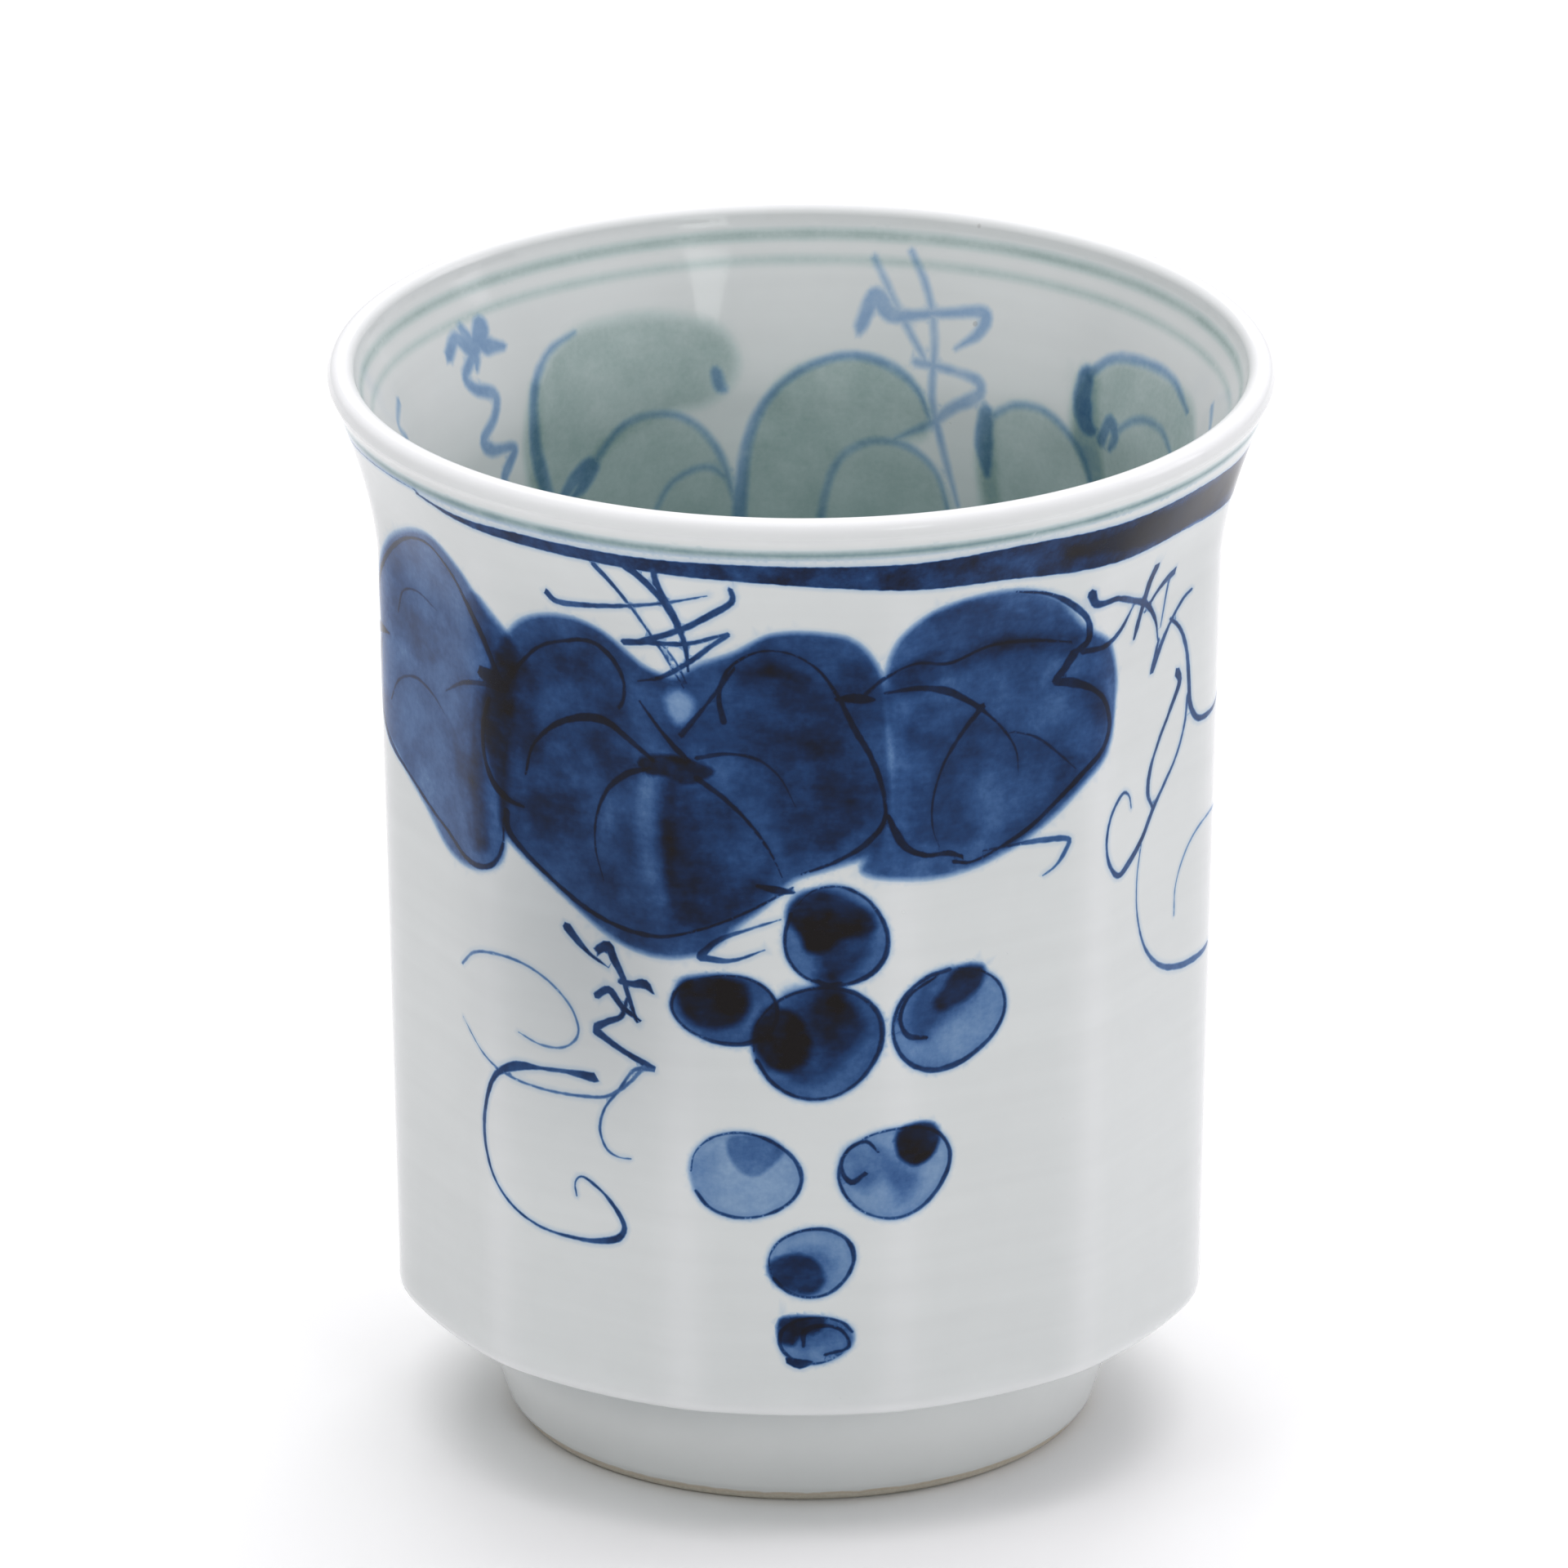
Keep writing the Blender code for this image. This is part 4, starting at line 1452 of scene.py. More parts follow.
class Bench:
    """Where one finish is put together, node by node."""

    def __init__(self, name: str) -> None:
        """Starts an empty material.

        Args:
            name: The material's name.
        """
        self.material = bpy.data.materials.new(name)
        self.material.use_nodes = True
        self.tree = self.material.node_tree
        self.tree.nodes.clear()

    def node(self, kind: str, settings: dict[str, Any], sockets: dict[Any, Any]) -> bpy.types.Node:
        """Adds any node.

        Args:
            kind: The node's type.
            settings: Its properties, set before its sockets. A ramp's stops go under "stops".
            sockets: Input names or numbers, with a value, a Value or a socket for each.

        Returns:
            The node.
        """
        made = self.tree.nodes.new(kind)
        for key, setting in settings.items():
            if key == "stops":
                self.set_stops(made, setting)
            else:
                setattr(made, key, setting)
        for key, given in sockets.items():
            source = given.socket if isinstance(given, Value) else given
            if isinstance(source, bpy.types.NodeSocket):
                self.tree.links.new(source, made.inputs[key])
            else:
                made.inputs[key].default_value = source
        return made

    def set_stops(self, ramp: bpy.types.Node, stops: Stops) -> None:
        """Gives a ramp its stops.

        Args:
            ramp: The ramp's node.
            stops: A place and a colour for each.
        """
        elements = ramp.color_ramp.elements
        while len(elements) > 1:
            elements.remove(elements[-1])
        for i, (place, colour) in enumerate(stops):
            element = elements[0] if i == 0 else elements.new(place)
            element.position = place
            element.color = (*colour, 1.0)

    def place_mm(self) -> bpy.types.NodeSocket:
        """The place on the piece.

        Returns:
            Its socket, in millimetres.
        """
        where = self.node("ShaderNodeTexCoord", {}, {}).outputs["Object"]
        scaled = self.node("ShaderNodeVectorMath", {"operation": "SCALE"}, {0: where, "Scale": 1 / MM})
        return scaled.outputs[0]

    def stretched(
        self, place: bpy.types.NodeSocket, scale: tuple[float, float, float]
    ) -> bpy.types.NodeSocket:
        """The place with each direction multiplied."""
        node = self.node("ShaderNodeVectorMath", {"operation": "MULTIPLY"}, {0: place, 1: scale})
        return node.outputs[0]

    def noise(
        self, place: bpy.types.NodeSocket, size: float, detail: float = 2.0, rough: float = 0.5
    ) -> Value:
        """Soft random patches.

        Args:
            place: The place on the piece.
            size: About how large they are.
            detail: How many finer layers they have.
            rough: How strong the finer layers are.

        Returns:
            Numbers from 0 to 1.
        """
        sockets = {"Vector": place, "Scale": 1 / size, "Detail": detail, "Roughness": rough}
        return Value(self, self.node("ShaderNodeTexNoise", {}, sockets).outputs["Fac"])

    def specks(self, place: bpy.types.NodeSocket, spacing: float, size: float) -> Value:
        """Small round specks, 1 in each and 0 between.

        Args:
            place: The place on the piece.
            spacing: Distance between specks.
            size: Largest speck against the spacing.

        Returns:
            The mask.
        """
        cells = self.node("ShaderNodeTexVoronoi", {}, {"Vector": place, "Scale": 1 / spacing})
        parts = self.node("ShaderNodeSeparateColor", {}, {"Color": cells.outputs["Color"]})
        reach = Value(self, parts.outputs["Red"]).rise(0.55, 1.0) * size
        return (reach - Value(self, cells.outputs["Distance"])).rise(0.0, 0.25 * size)

    def parts(self, attribute: str) -> tuple[Value, Value, Value]:
        """Numbers stored at the vertices.

        Args:
            attribute: The name they are stored under.

        Returns:
            The three numbers.
        """
        read = self.node("ShaderNodeAttribute", {"attribute_name": attribute}, {})
        split = self.node("ShaderNodeSeparateXYZ", {}, {0: read.outputs["Vector"]})
        first, second, third = (Value(self, socket) for socket in split.outputs)
        return first, second, third

    def mixed(self, share: Any, first: Any, second: Any, blend: str = "MIX") -> bpy.types.NodeSocket:
        """A colour between two.

        Args:
            share: How much of the second.
            first: Colour or socket.
            second: Colour or socket.
            blend: The way of mixing.

        Returns:
            The colour's socket.
        """
        first, second = ((*given, 1.0) if isinstance(given, tuple) else given for given in (first, second))
        settings = {"data_type": "RGBA", "blend_type": blend}
        return self.node("ShaderNodeMix", settings, {0: share, 6: first, 7: second}).outputs[2]

    def grey(self, value: Value) -> bpy.types.NodeSocket:
        """A grey colour of that strength."""
        node = self.node("ShaderNodeCombineColor", {}, {"Red": value, "Green": value, "Blue": value})
        return node.outputs[0]

    def ramp(self, share: Value, stops: Stops) -> bpy.types.NodeSocket:
        """The colour that a ramp gives for a share."""
        node = self.node("ShaderNodeValToRGB", {"stops": stops}, {"Fac": share})
        return node.outputs["Color"]

    def bump(self, height: Value) -> bpy.types.NodeSocket:
        """The normal of a surface raised by so many millimetres."""
        node = self.node("ShaderNodeBump", {}, {"Height": height, "Distance": MM, "Strength": 1.0})
        return node.outputs["Normal"]

    def surface(self, sockets: dict[str, Any]) -> bpy.types.Material:
        """Ends the finish with its shader.

        Args:
            sockets: Values and links of the Principled shader.

        Returns:
            The material.
        """
        shader = self.node("ShaderNodeBsdfPrincipled", {}, sockets)
        self.node("ShaderNodeOutputMaterial", {}, {"Surface": shader.outputs["BSDF"]})
        return self.material


COBALT_OUTSIDE: Stops = (
    (0.0, (1.0, 1.0, 1.0)),
    (0.1, (0.66, 0.78, 0.92)),
    (0.2, (0.40, 0.56, 0.80)),
    (0.3, (0.25, 0.40, 0.66)),
    (0.4, (0.145, 0.28, 0.55)),
    (0.5, (0.070, 0.17, 0.41)),
    (0.6, (0.030, 0.10, 0.29)),
    (0.7, (0.012, 0.055, 0.185)),
    (0.8, (0.005, 0.025, 0.095)),
    (0.9, (0.004, 0.010, 0.035)),
    (1.0, (0.007, 0.004, 0.004)),
)
COBALT_INSIDE: Stops = (
    (0.0, (1.0, 1.0, 1.0)),
    (0.2, (0.74, 0.83, 0.82)),
    (0.5, (0.38, 0.51, 0.49)),
    (0.65, (0.25, 0.39, 0.44)),
    (0.8, (0.14, 0.26, 0.40)),
    (1.0, (0.05, 0.10, 0.22)),
)


@dataclass(frozen=True)
class PaintedGlaze:
    """Clear, faintly blue-grey glaze over white porcelain, with cobalt brushed under it, and painted
    highlights and shade in its colour.
    """

    outside: Colour = (0.69, 0.712, 0.708)
    # inside: the glaze's tone inside the cup, partly thicker glaze and partly painted light for how light
    # falls inside.
    inside: Colour = (0.74, 0.755, 0.75)
    # thin: whiter glaze where it runs thin over the ridges, round the lip and on the heel, which also paints
    # their highlights.
    thin: Colour = (0.87, 0.875, 0.885)
    # thick: greyer glaze where it pools outside at the neck, which also paints shade under the cup and on a
    # patch of the left front.
    thick: Colour = (0.46, 0.485, 0.495)
    # deep: teal glaze pooled low inside, which also paints the shade deep inside the cup.
    deep: Colour = (0.36, 0.465, 0.46)
    iron: Colour = (0.10, 0.07, 0.05)
    pool_and_shade_most: float = 0.8
    brush_grain: float = 0.42
    bleed: float = 0.09
    seen_through_inside: float = 0.36
    roughness: float = 0.07
    reflectance: float = 0.14

    def body(self, bench: Bench, place: bpy.types.NodeSocket) -> bpy.types.NodeSocket:
        """The bare glaze colour, without cobalt, with painted highlights and painted shade mixed in.

        Args:
            bench: The finish being made.
            place: The place in millimetres.

        Returns:
            The colour.
        """
        # The glaze columns: share inside, thin glaze that also paints highlights, pooled glaze that also
        # paints shade.
        inside, ridge, pool_and_shade = bench.parts("glaze")
        colour = bench.mixed(inside, self.outside, self.inside)
        colour = bench.mixed(ridge, colour, self.thin)
        # Pooled glaze colour that also paints shade: thick outside, deep inside.
        pooled = bench.mixed(inside, self.thick, self.deep)
        colour = bench.mixed((pool_and_shade * self.pool_and_shade_most).held(), colour, pooled)
        cloud = bench.noise(place, 16.0, 3.0)
        fine = bench.noise(place, 2.4, 3.0)
        thrown = bench.noise(bench.stretched(place, (0.05, 0.05, 1.0)), 1.6, 2.0)
        tint = 0.92 + cloud * 0.06 + fine * 0.03 + thrown * 0.07
        return bench.mixed(1.0, colour, bench.grey(tint), "MULTIPLY")

    def cobalt(self, bench: Bench, place: bpy.types.NodeSocket) -> tuple[Value, Value, Value]:
        """How much cobalt lies under the glaze.

        Args:
            bench: The finish being made.
            place: The place in millimetres.

        Returns:
            The depth of the washes, of the lines, and of lines softened by the thicker glaze inside.
        """
        wash, edge, tone = bench.parts("ink")
        cloud = bench.noise(place, 4.2, 3.0, 0.55)
        streak = bench.noise(bench.stretched(place, (1.0, 1.0, 2.6)), 1.5, 2.0)
        grain = bench.noise(place, self.brush_grain, 2.0, 0.6)
        wash = wash * (0.50 + cloud * 0.82 + streak * 0.16)
        wash = (wash + wash * (1 - wash) * (grain - 0.5) * 0.5).held()
        ragged = edge + (bench.noise(place, 0.9, 2.0) - 0.5) * 0.16
        load = 0.80 + (bench.noise(place, 2.2, 2.0) - 0.5) * 0.6 + (grain - 0.5) * 0.2
        halo = ragged.rise(-0.5, 0.0) * tone * self.bleed
        line = (ragged.rise(-0.06, 0.12) * tone * load).held()
        line = 1 - (1 - line) * (1 - halo)
        softened = (ragged.rise(-0.40, 0.32) * tone * load).held()
        return wash, line, softened

    def material(self) -> bpy.types.Material:
        """The finish of the cup body.

        Returns:
            The material.
        """
        bench = Bench("painted_porcelain_glaze")
        place = bench.place_mm()
        wash, line, softened = self.cobalt(bench, place)
        inside = bench.parts("glaze")[0]
        depth = (1 - (1 - wash) * (1 - line)).held()
        outside_colour = bench.ramp(depth, COBALT_OUTSIDE)
        inside_lines = bench.ramp(softened * self.seen_through_inside, COBALT_OUTSIDE)
        inside_colour = bench.mixed(1.0, bench.ramp(wash, COBALT_INSIDE), inside_lines, "MULTIPLY")
        through = bench.mixed(inside, outside_colour, inside_colour)
        colour = bench.mixed(1.0, self.body(bench, place), through, "MULTIPLY")
        iron = bench.specks(place, 7.0, 0.05)
        colour = bench.mixed(iron * 0.25, colour, self.iron)
        peel = bench.noise(place, 3.0, 2.0) * 0.010 + bench.noise(place, 14.0, 1.0) * 0.08
        turned = bench.noise(bench.stretched(place, (0.04, 0.04, 1.0)), 2.2, 2.0) * 0.012
        pits = bench.specks(place, 4.0, 0.05) * -0.02
        rough = self.roughness + bench.noise(place, 5.0, 3.0) * 0.05 + depth * 0.05
        sockets = {
            "Base Color": colour,
            "Roughness": rough,
            "Specular IOR Level": self.reflectance,
            "Normal": bench.bump(peel + turned + pits + line * 0.006),
        }
        return bench.surface(sockets)


@dataclass(frozen=True)
class FootGlaze:
    """The same glaze on the foot ring, wiped off its edge so that the fired clay shows, with painted shade
    under the cup body.
    """

    glaze: Colour = (0.74, 0.755, 0.75)
    # pooled: greyer glaze pooled at the top of the foot, which also paints the shade under the cup body,
    # deeper on the left.
    pooled: Colour = (0.52, 0.55, 0.55)
    clay: Colour = (0.62, 0.575, 0.49)
    grit: Colour = (0.42, 0.38, 0.31)
    scorched: Colour = (0.52, 0.43, 0.31)
    iron: Colour = (0.25, 0.2, 0.16)
    glaze_roughness: float = 0.14
    clay_roughness: float = 0.68

    def material(self) -> bpy.types.Material:
        """The finish of the foot ring.

        Returns:
            The material.
        """
        bench = Bench("foot_glaze_and_bare_clay")
        place = bench.place_mm()
        bare, pool_and_shade, _ = bench.parts("glaze")
        ragged = bare + (bench.noise(place, 1.6, 3.0) - 0.5) * 0.25
        wiped = ragged.rise(0.47, 0.53)
        rim = ragged.rise(0.38, 0.5) * (1 - ragged.rise(0.5, 0.66))
        cloud = bench.noise(place, 7.0, 3.0)
        # Painted shade under the body and on the left side, together with pooled glaze.
        glaze = bench.mixed((pool_and_shade + cloud * 0.25).held(), self.glaze, self.pooled)
        grit = bench.noise(place, 0.35, 3.0, 0.7)
        clay = bench.mixed((grit * 1.3 - 0.35).held(), self.clay, self.grit)
        colour = bench.mixed(wiped, glaze, clay)
        colour = bench.mixed(rim * 0.6, colour, self.scorched)
        colour = bench.mixed(bench.specks(place, 5.0, 0.05) * 0.35, colour, self.iron)
        rough = self.glaze_roughness + bench.noise(place, 4.0) * 0.06
        rough = rough + wiped * (self.clay_roughness - self.glaze_roughness)
        height = bench.noise(place, 3.0) * 0.012 + wiped * (grit * 0.05 - 0.04)
        return bench.surface({"Base Color": colour, "Roughness": rough, "Normal": bench.bump(height)})


# ---- the pieces


CUP_MAP = {
    Zone.UNDERSIDE: (MapStrip(0.01, 0.955, 0.48, 0.035),),
    Zone.HEEL: (MapStrip(0.01, 0.935, 0.48, 0.018),),
    Zone.WALL: (MapStrip(0.01, 0.01, 0.98, 0.39), MapStrip(0.01, 0.41, 0.98, 0.39)),
    Zone.LIP: (MapStrip(0.51, 0.935, 0.48, 0.018),),
    Zone.INSIDE: (MapStrip(0.01, 0.81, 0.48, 0.12), MapStrip(0.51, 0.81, 0.48, 0.12)),
    Zone.CORNER: (MapStrip(0.51, 0.975, 0.48, 0.016),),
    Zone.FLOOR: (MapStrip(0.51, 0.957, 0.48, 0.016),),
}
BAND_ROWS = {Zone.UNDERSIDE: 12, Zone.HEEL: 12, Zone.LIP: 20, Zone.CORNER: 16, Zone.FLOOR: 12}


@dataclass
class GlazedCup:
    """The cup body: faceted wall, round lip, heel, inside and floor, glazed all over and painted."""

    form: CupForm
    finish: PaintedGlaze = field(default_factory=PaintedGlaze)
    lip_start_deg: float = -20.0
    lip_end_deg: float = 162.0
    wall_below_lip: float = 0.45

    def zones(self) -> dict[Zone, np.ndarray]:
        """The stretches of the section.

        Returns:
            Rows of radius, height and facet strength for each.
        """
        form = self.form
        heel_height = form.foot_height + form.heel
        heel_centre = (float(form.outer_radius(np.array(heel_height))) - form.heel, heel_height)
        heel = arc(heel_centre, form.heel, -90, 0)
        lip_radius = form.lip_thickness / 2
        lip_centre = (form.rim_radius - lip_radius, form.lip_centre_height)
        lip = arc(lip_centre, lip_radius, self.lip_start_deg, self.lip_end_deg)
        corner_height = form.floor_height + form.inner_corner
        corner_centre = (float(form.inner_radius(np.array(corner_height))) - form.inner_corner, corner_height)
        corner = arc(corner_centre, form.inner_corner, 0, -90)
        wall = np.linspace(heel_height, form.lip_centre_height - self.wall_below_lip, 220)
        inside = np.linspace(form.lip_centre_height, corner_height, 200)

        under = np.linspace(0.0, heel_centre[0], 12)
        floor = np.linspace(corner_centre[0], 0.0, 12)
        inside_facets = form.inner_facet_share * form.facet_strength(inside)
        corner_facets = form.inner_facet_share * np.linspace(1, 0, len(corner))

        def rows(radius: np.ndarray, height: np.ndarray, facets: Any) -> np.ndarray:
            """The three columns side by side."""
            return np.stack([radius, height, np.broadcast_to(facets, radius.shape)], axis=1)

        return {
            Zone.UNDERSIDE: rows(under, np.full_like(under, form.foot_height), 0.0),
            Zone.HEEL: rows(*heel.T, np.linspace(0, 1, len(heel))),
            Zone.WALL: rows(form.outer_radius(wall), wall, form.facet_strength(wall)),
            Zone.LIP: rows(*lip.T, 0.0),
            Zone.INSIDE: rows(form.inner_radius(inside), inside, inside_facets),
            Zone.CORNER: rows(*corner.T, corner_facets),
            Zone.FLOOR: rows(floor, np.full_like(floor, form.floor_height), 0.0),
        }

    def section(self) -> tuple[Section, dict[Zone, tuple[float, float]]]:
        """The stretches joined end to end.

        Returns:
            The whole section, and where each stretch of it starts and ends along the walk.
        """
        same_place = 1e-6
        rows: list[np.ndarray] = []
        ends: dict[Zone, tuple[int, int]] = {}
        for zone, part in self.zones().items():
            meets = bool(rows) and np.hypot(*(part[0] - rows[-1][-1])[:2]) < same_place
            fresh = part[1:] if meets else part
            before = sum(len(block) for block in rows)
            rows.append(fresh)
            ends[zone] = (max(before - 1, 0), before + len(fresh) - 1)
        whole = np.concatenate(rows)
        section = Section(whole[:, 0], whole[:, 1], whole[:, 2])
        length = section.length
        return section, {zone: (float(length[a]), float(length[b])) for zone, (a, b) in ends.items()}

    def build(self) -> bpy.types.Object:
        """Makes, paints and dresses the cup body.

        Returns:
            The finished piece.
        """
        section, walk = self.section()
        shell = CupShell(self.form, section, walk=walk)
        inks = {
            Zone.WALL: Ink.of(OutsideVine().painting()),
            Zone.INSIDE: Ink.of(InsideVine().painting().from_far_wall()),
        }
        for zone, strips in CUP_MAP.items():
            if zone in inks:
                for half, strip in enumerate(strips):
                    shell.add_painted(walk[zone], inks[zone], shell.seam_deg + 180.0 * half, strip)
            else:
                shell.add_bands(np.linspace(*walk[zone], BAND_ROWS[zone]), strips[0])
        mesh = shell.joined("glazed_cup")
        mesh.materials.append(self.finish.material())
        return put_in_scene("glazed_cup", mesh)


@dataclass
class CupShell(Shell):
    """The joined sheets of the cup body, which know where the glaze is thick or thin, and where highlights
    and shade are painted into it.
    """

    walk: dict[Zone, tuple[float, float]] = field(default_factory=dict)
    inside_glaze_height: float = 81.4
    ridge_half_deg: float = 3.2
    # Painted highlights together with thinner glaze over the ridges, round the lip and on the heel.
    ridge_thin_glaze_and_highlight: float = 0.3
    lip_half: float = 1.3
    lip_thin_glaze_and_highlight: float = 0.8
    heel_half: float = 0.9
    heel_thin_glaze_and_highlight: float = 0.45
    # Painted shade together with pooled glaze, darker low inside the cup.
    inside_pool_and_shade_from: float = 76.0
    inside_pool_and_shade_over: float = 26.0
    # Painted shade: a darker patch on the left front of the wall.
    left_shade_at: tuple[float, float] = (-31.0, 48.0)
    left_shade_half: tuple[float, float] = (18.0, 15.0)
    left_shade_strength: float = 1.1

    def glaze(self, degrees: np.ndarray, walked: np.ndarray) -> np.ndarray:
        """How the glaze lies: share inside, thin glaze with painted highlights, and pooled glaze with painted
        shade.

        Args:
            degrees: Angle of each point.
            walked: Distance of each point along the section.

        Returns:
            One row of three shares for each point.
        """
        length = self.section.length
        height = np.interp(walked, length, self.section.height)
        facets = np.interp(walked, length, self.section.facets)
        lip_start, lip_end = self.walk[Zone.LIP]
        heel_start, heel_end = self.walk[Zone.HEEL]
        lip_middle = 0.5 * (lip_start + lip_end)
        inside = eased((walked - lip_middle) / (0.5 * (lip_end - lip_start) + 1.2))
        inside = np.maximum(inside, 0.85 * eased((height - self.inside_glaze_height) / 0.6))
        pitch = 360.0 / self.form.facets
        off_ridge = np.abs(np.mod(degrees - self.form.first_ridge_deg + pitch / 2, pitch) - pitch / 2)
        # Painted highlights, with thinner glaze: lighter over the ridges, round the lip and on the heel.
        ridge = self.ridge_thin_glaze_and_highlight * bell(off_ridge, self.ridge_half_deg) * facets * (1 - inside)
        lip = bell(walked - lip_middle, self.lip_half)
        heel = bell(walked - heel_end + 1.4, self.heel_half)
        # Painted shade, with pooled glaze: darker low inside the cup.
        deep = eased((self.inside_pool_and_shade_from - height) / self.inside_pool_and_shade_over) * (walked > lip_end)
        neck = bell(height - self.form.neck_height - 2, 4) * (walked < lip_start)
        # Painted shade under the cup.
        under = eased((heel_start - walked) / 3)
        # Painted shade on a patch of the left front of the wall.
        turn = np.mod(degrees - self.left_shade_at[0] + 180.0, 360.0) - 180.0
        run = bell(turn, self.left_shade_half[0]) * bell(height - self.left_shade_at[1], self.left_shade_half[1])
        run = run * (walked < lip_start)
        # thin carries painted highlights and thick carries painted shade, each with the real thinning and
        # pooling of the glaze.
        thin = np.clip(ridge + lip * self.lip_thin_glaze_and_highlight + heel * self.heel_thin_glaze_and_highlight, 0, 1)
        thick = np.clip(deep + neck * 0.12 + under * 0.3 + run * self.left_shade_strength, 0, 1.4)
        return np.stack([inside, thin, thick], axis=1)


def put_in_scene(name: str, data: bpy.types.ID) -> bpy.types.Object:
    """Places a mesh, a light or a camera in the scene.

    Args:
        name: The object's name.
        data: What the object shows.

    Returns:
        The object.
    """
    piece = bpy.data.objects.new(name, data)
    bpy.context.scene.collection.objects.link(piece)
    return piece


@dataclass
class GlazedFootRing:
    """The foot ring, let a little way into the cup's underside, with a fillet of glaze round its top."""

    form: CupForm
    finish: FootGlaze = field(default_factory=FootGlaze)
    fillet: float = 0.9
    bare_height: float = 0.8

    def section(self) -> Section:
        """The ring's closed section.

        Returns:
            A walk from the top of its inner side down, under the edge and back up its outer side.
        """
        form = self.form
        outer_top = form.base_radius - form.foot_setback
        outer_bottom = outer_top - form.foot_outer_taper
        inner_top = outer_top - form.foot_wall
        inner_bottom = inner_top - form.foot_inner_taper
        top, edge, fillet = form.foot_height, form.foot_edge, self.fillet
        rows = [np.array([[inner_top - fillet * 0.5, top + form.foot_let_in]])]
        rows.append(arc((inner_top - fillet, top - fillet), fillet, 80, 0, 13))
        side = np.linspace(top - 1.3 * fillet, edge * 1.1, 20)
        lean = form.foot_inner_taper / top
        rows.append(np.stack([inner_top - lean * (top - side), side], 1))
        rows.append(arc((inner_bottom + edge, edge), edge, 185, 270, 13))
        rows.append(arc((outer_bottom - edge, edge), edge, -90, -10, 13))
        side = side[::-1]
        lean = form.foot_outer_taper / top
        rows.append(np.stack([outer_bottom + lean * side, side], 1))
        rows.append(arc((outer_top + fillet, top - fillet), fillet, 170, 95, 13))
        rows.append(np.array([[outer_top + fillet * 0.5, top + form.foot_let_in]]))
        rows.append(rows[0])
        whole = np.concatenate(rows)
        return Section(whole[:, 0], whole[:, 1], np.zeros(len(whole)))

    def build(self) -> bpy.types.Object:
        """Makes and dresses the foot ring.

        Returns:
            The finished piece.
        """
        section = self.section()
        shell = FootShell(self.form, section, bare_height=self.bare_height)
        shell.add_bands(section.length, MapStrip(0.02, 0.02, 0.96, 0.96))
        mesh = shell.joined("glazed_foot_ring")
        mesh.materials.append(self.finish.material())
        return put_in_scene("glazed_foot_ring", mesh)


@dataclass
class FootShell(Shell):
    """The joined sheet of the foot ring, which knows where the clay is bare."""

    bare_height: float = 0.8
    bare_per_mm: float = 0.6
    # Painted shade together with pooled glaze, near the top of the foot.
    pool_and_shade_depth: float = 5.5
    pool_and_shade_over: float = 4.5

    def glaze(self, degrees: np.ndarray, walked: np.ndarray) -> np.ndarray:
        """How the glaze lies on the foot.

        Args:
            degrees: Angle of each point.
            walked: Distance of each point along the section.

        Returns:
            Rows of bareness, from 0 well above the wiped edge to 1 on the clay, how thick the glaze has
            pooled below the cup with painted shade there, and 0.
        """
        height = np.interp(walked, self.section.length, self.section.height)
        bare = np.clip(0.5 + (self.bare_height - height) * self.bare_per_mm, 0, 1)
        # Painted shade: stronger on the left front of the foot, weaker on the right.
        uneven = 0.55 - 0.45 * np.sin(np.radians(degrees + 5.0))
        pool_and_shade = eased((height - self.form.foot_height + self.pool_and_shade_depth) / self.pool_and_shade_over) * uneven
        return np.stack([bare, pool_and_shade, np.zeros_like(bare)], axis=1)


# ---- studio


@dataclass(frozen=True)
class Lamp:
    """A square soft light that faces the cup: its place, width, brightness and colour."""

    name: str
    at: tuple[float, float, float]
    width: float
    power: float
    colour: Colour = (1.0, 1.0, 1.0)


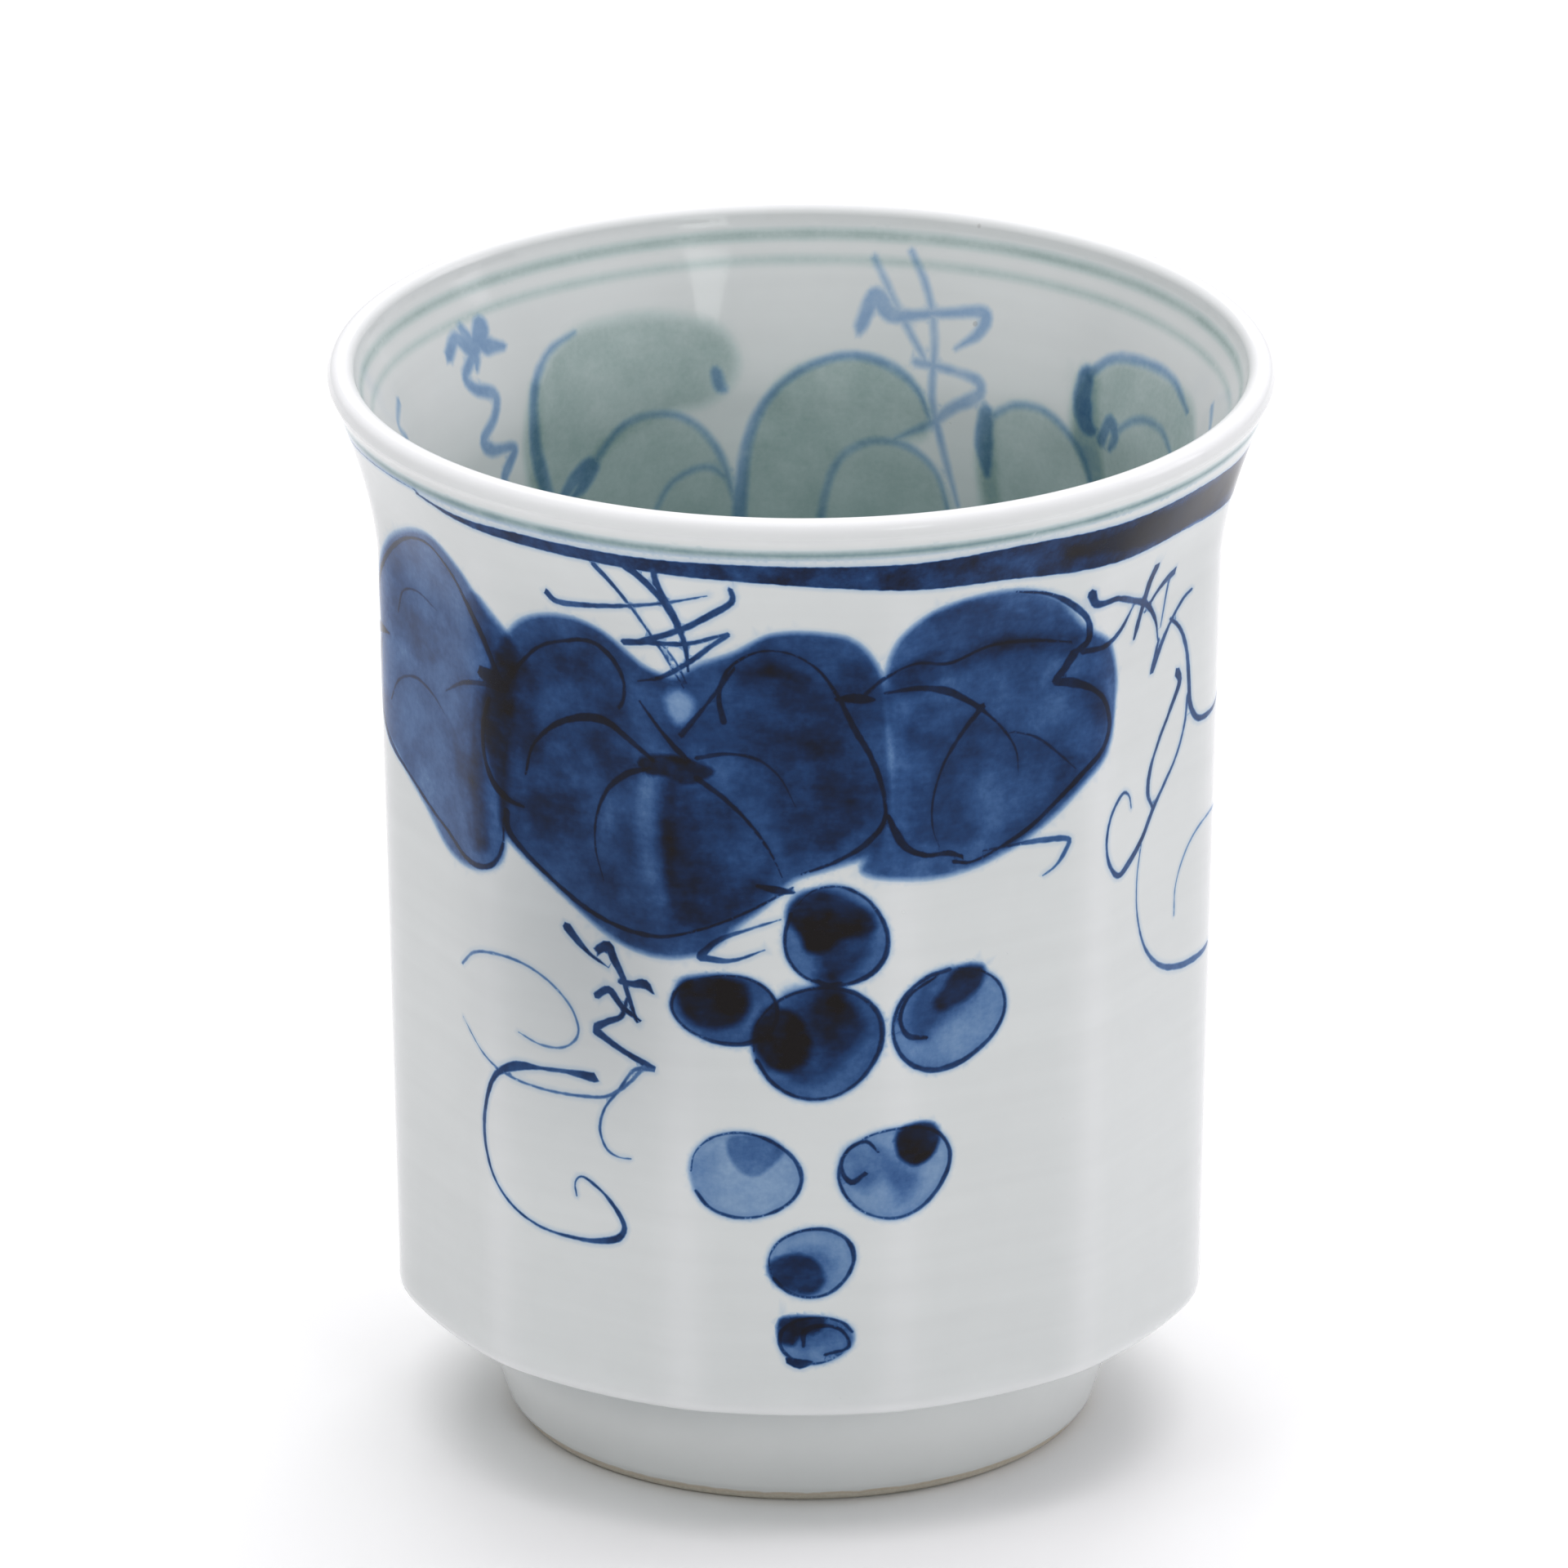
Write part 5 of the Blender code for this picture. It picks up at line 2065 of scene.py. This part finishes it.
@dataclass
class Studio:
    """Pale floor, soft lights and the camera."""

    height: float
    distance: float = 1.8
    elevation_deg: float = 21.2
    lens_mm: float = 540.0
    moved_right: float = -1.31 * MM
    moved_up: float = 7.25 * MM
    floor_width: float = 6.0
    floor_colours: tuple[Colour, Colour] = ((0.90, 0.90, 0.90), (0.93, 0.93, 0.93))
    air_colour: Colour = (0.97, 0.985, 1.0)
    air_strength: float = 0.28
    lamps: tuple[Lamp, ...] = (
        Lamp("window_right", (1.5, 0.35, 0.75), 0.6, 4.8, (1.0, 0.95, 1.0)),
        Lamp("ceiling", (0.0, 0.1, 1.7), 1.8, 24.5, (1.0, 0.975, 1.0)),
        Lamp("left", (-1.15, -0.7, 1.3), 1.0, 4.4),
        Lamp("front", (0.75, -1.55, 0.75), 0.4, 4.1, (0.97, 1.0, 0.99)),
        Lamp("behind", (0.0, 1.4, 1.3), 1.4, 14.0),
    )

    def build(self) -> None:
        """Makes the floor, lights, world and camera."""
        self.lay_floor()
        for lamp in self.lamps:
            self.hang(lamp)
        self.light_world()
        self.set_camera()
        bpy.context.scene.view_settings.view_transform = "Standard"

    def lay_floor(self) -> None:
        """A plain pale floor."""
        half = self.floor_width / 2
        corners = [(x * half, y * half, 0.0) for x, y in ((-1, -1), (1, -1), (1, 1), (-1, 1))]
        mesh = bpy.data.meshes.new("studio_floor")
        mesh.from_pydata(corners, [], [(0, 1, 2, 3)])
        bench = Bench("pale_floor")
        shade = bench.noise(bench.place_mm(), 400.0, 2.0)
        colour = bench.mixed(shade, *self.floor_colours)
        finish = bench.surface({"Base Color": colour, "Roughness": 0.9, "Specular IOR Level": 0.1})
        mesh.materials.append(finish)
        put_in_scene("studio_floor", mesh)

    def hang(self, lamp: Lamp) -> None:
        """Places one soft light, aimed at the middle of the cup.

        Args:
            lamp: The light.
        """
        data = bpy.data.lights.new(lamp.name, "AREA")
        data.shape = "SQUARE"
        data.size = lamp.width
        data.energy = lamp.power
        data.color = lamp.colour
        light = put_in_scene(lamp.name, data)
        light.location = lamp.at
        aim = Vector((0, 0, self.height / 2)) - Vector(lamp.at)
        light.rotation_euler = aim.to_track_quat("-Z", "Y").to_euler()
        light.visible_camera = False

    def light_world(self) -> None:
        """Even, slightly cool light from everywhere."""
        world = bpy.data.worlds.new("studio_air")
        world.use_nodes = True
        background = world.node_tree.nodes["Background"]
        background.inputs["Color"].default_value = (*self.air_colour, 1.0)
        background.inputs["Strength"].default_value = self.air_strength
        bpy.context.scene.world = world

    def set_camera(self) -> None:
        """A long lens, looking down a little at the painted front."""
        data = bpy.data.cameras.new("camera")
        data.lens = self.lens_mm
        data.sensor_width = 36.0
        data.clip_start = 0.05
        data.clip_end = 50.0
        camera = put_in_scene("camera", data)
        tilt = math.radians(self.elevation_deg)
        back = Vector((0.0, -math.cos(tilt), math.sin(tilt)))
        up = Vector((0.0, math.sin(tilt), math.cos(tilt)))
        right = Vector((1.0, 0.0, 0.0))
        middle = Vector((0.0, 0.0, self.height / 2))
        camera.location = middle + back * self.distance + right * self.moved_right + up * self.moved_up
        camera.rotation_euler = (math.pi / 2 - tilt, 0.0, 0.0)
        bpy.context.scene.camera = camera


# ---- main


def main() -> None:
    """Builds the cup, its foot ring and the studio."""
    low, high = CAD_BOX
    foot_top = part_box("foot_ring")[1].z
    slip_joint = 0.3
    form = CupForm(
        rim_radius=(high[0] - low[0]) / 2 / MM,
        height=high[2] / MM,
        foot_height=foot_top / MM + slip_joint,
    )
    Studio(height=high[2]).build()
    pieces = (
        (GlazedCup(form).build, "cup_body", "glazed_body"),
        (GlazedFootRing(form).build, "foot_ring", "glazed_foot"),
    )
    for build, node, slot in pieces:
        piece = build()
        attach(piece, BODY)
        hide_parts(node)
        log.info("%s: %d vertices, %d faces", piece.name, len(piece.data.vertices), len(piece.data.polygons))


if __name__ == "__main__":
    main()
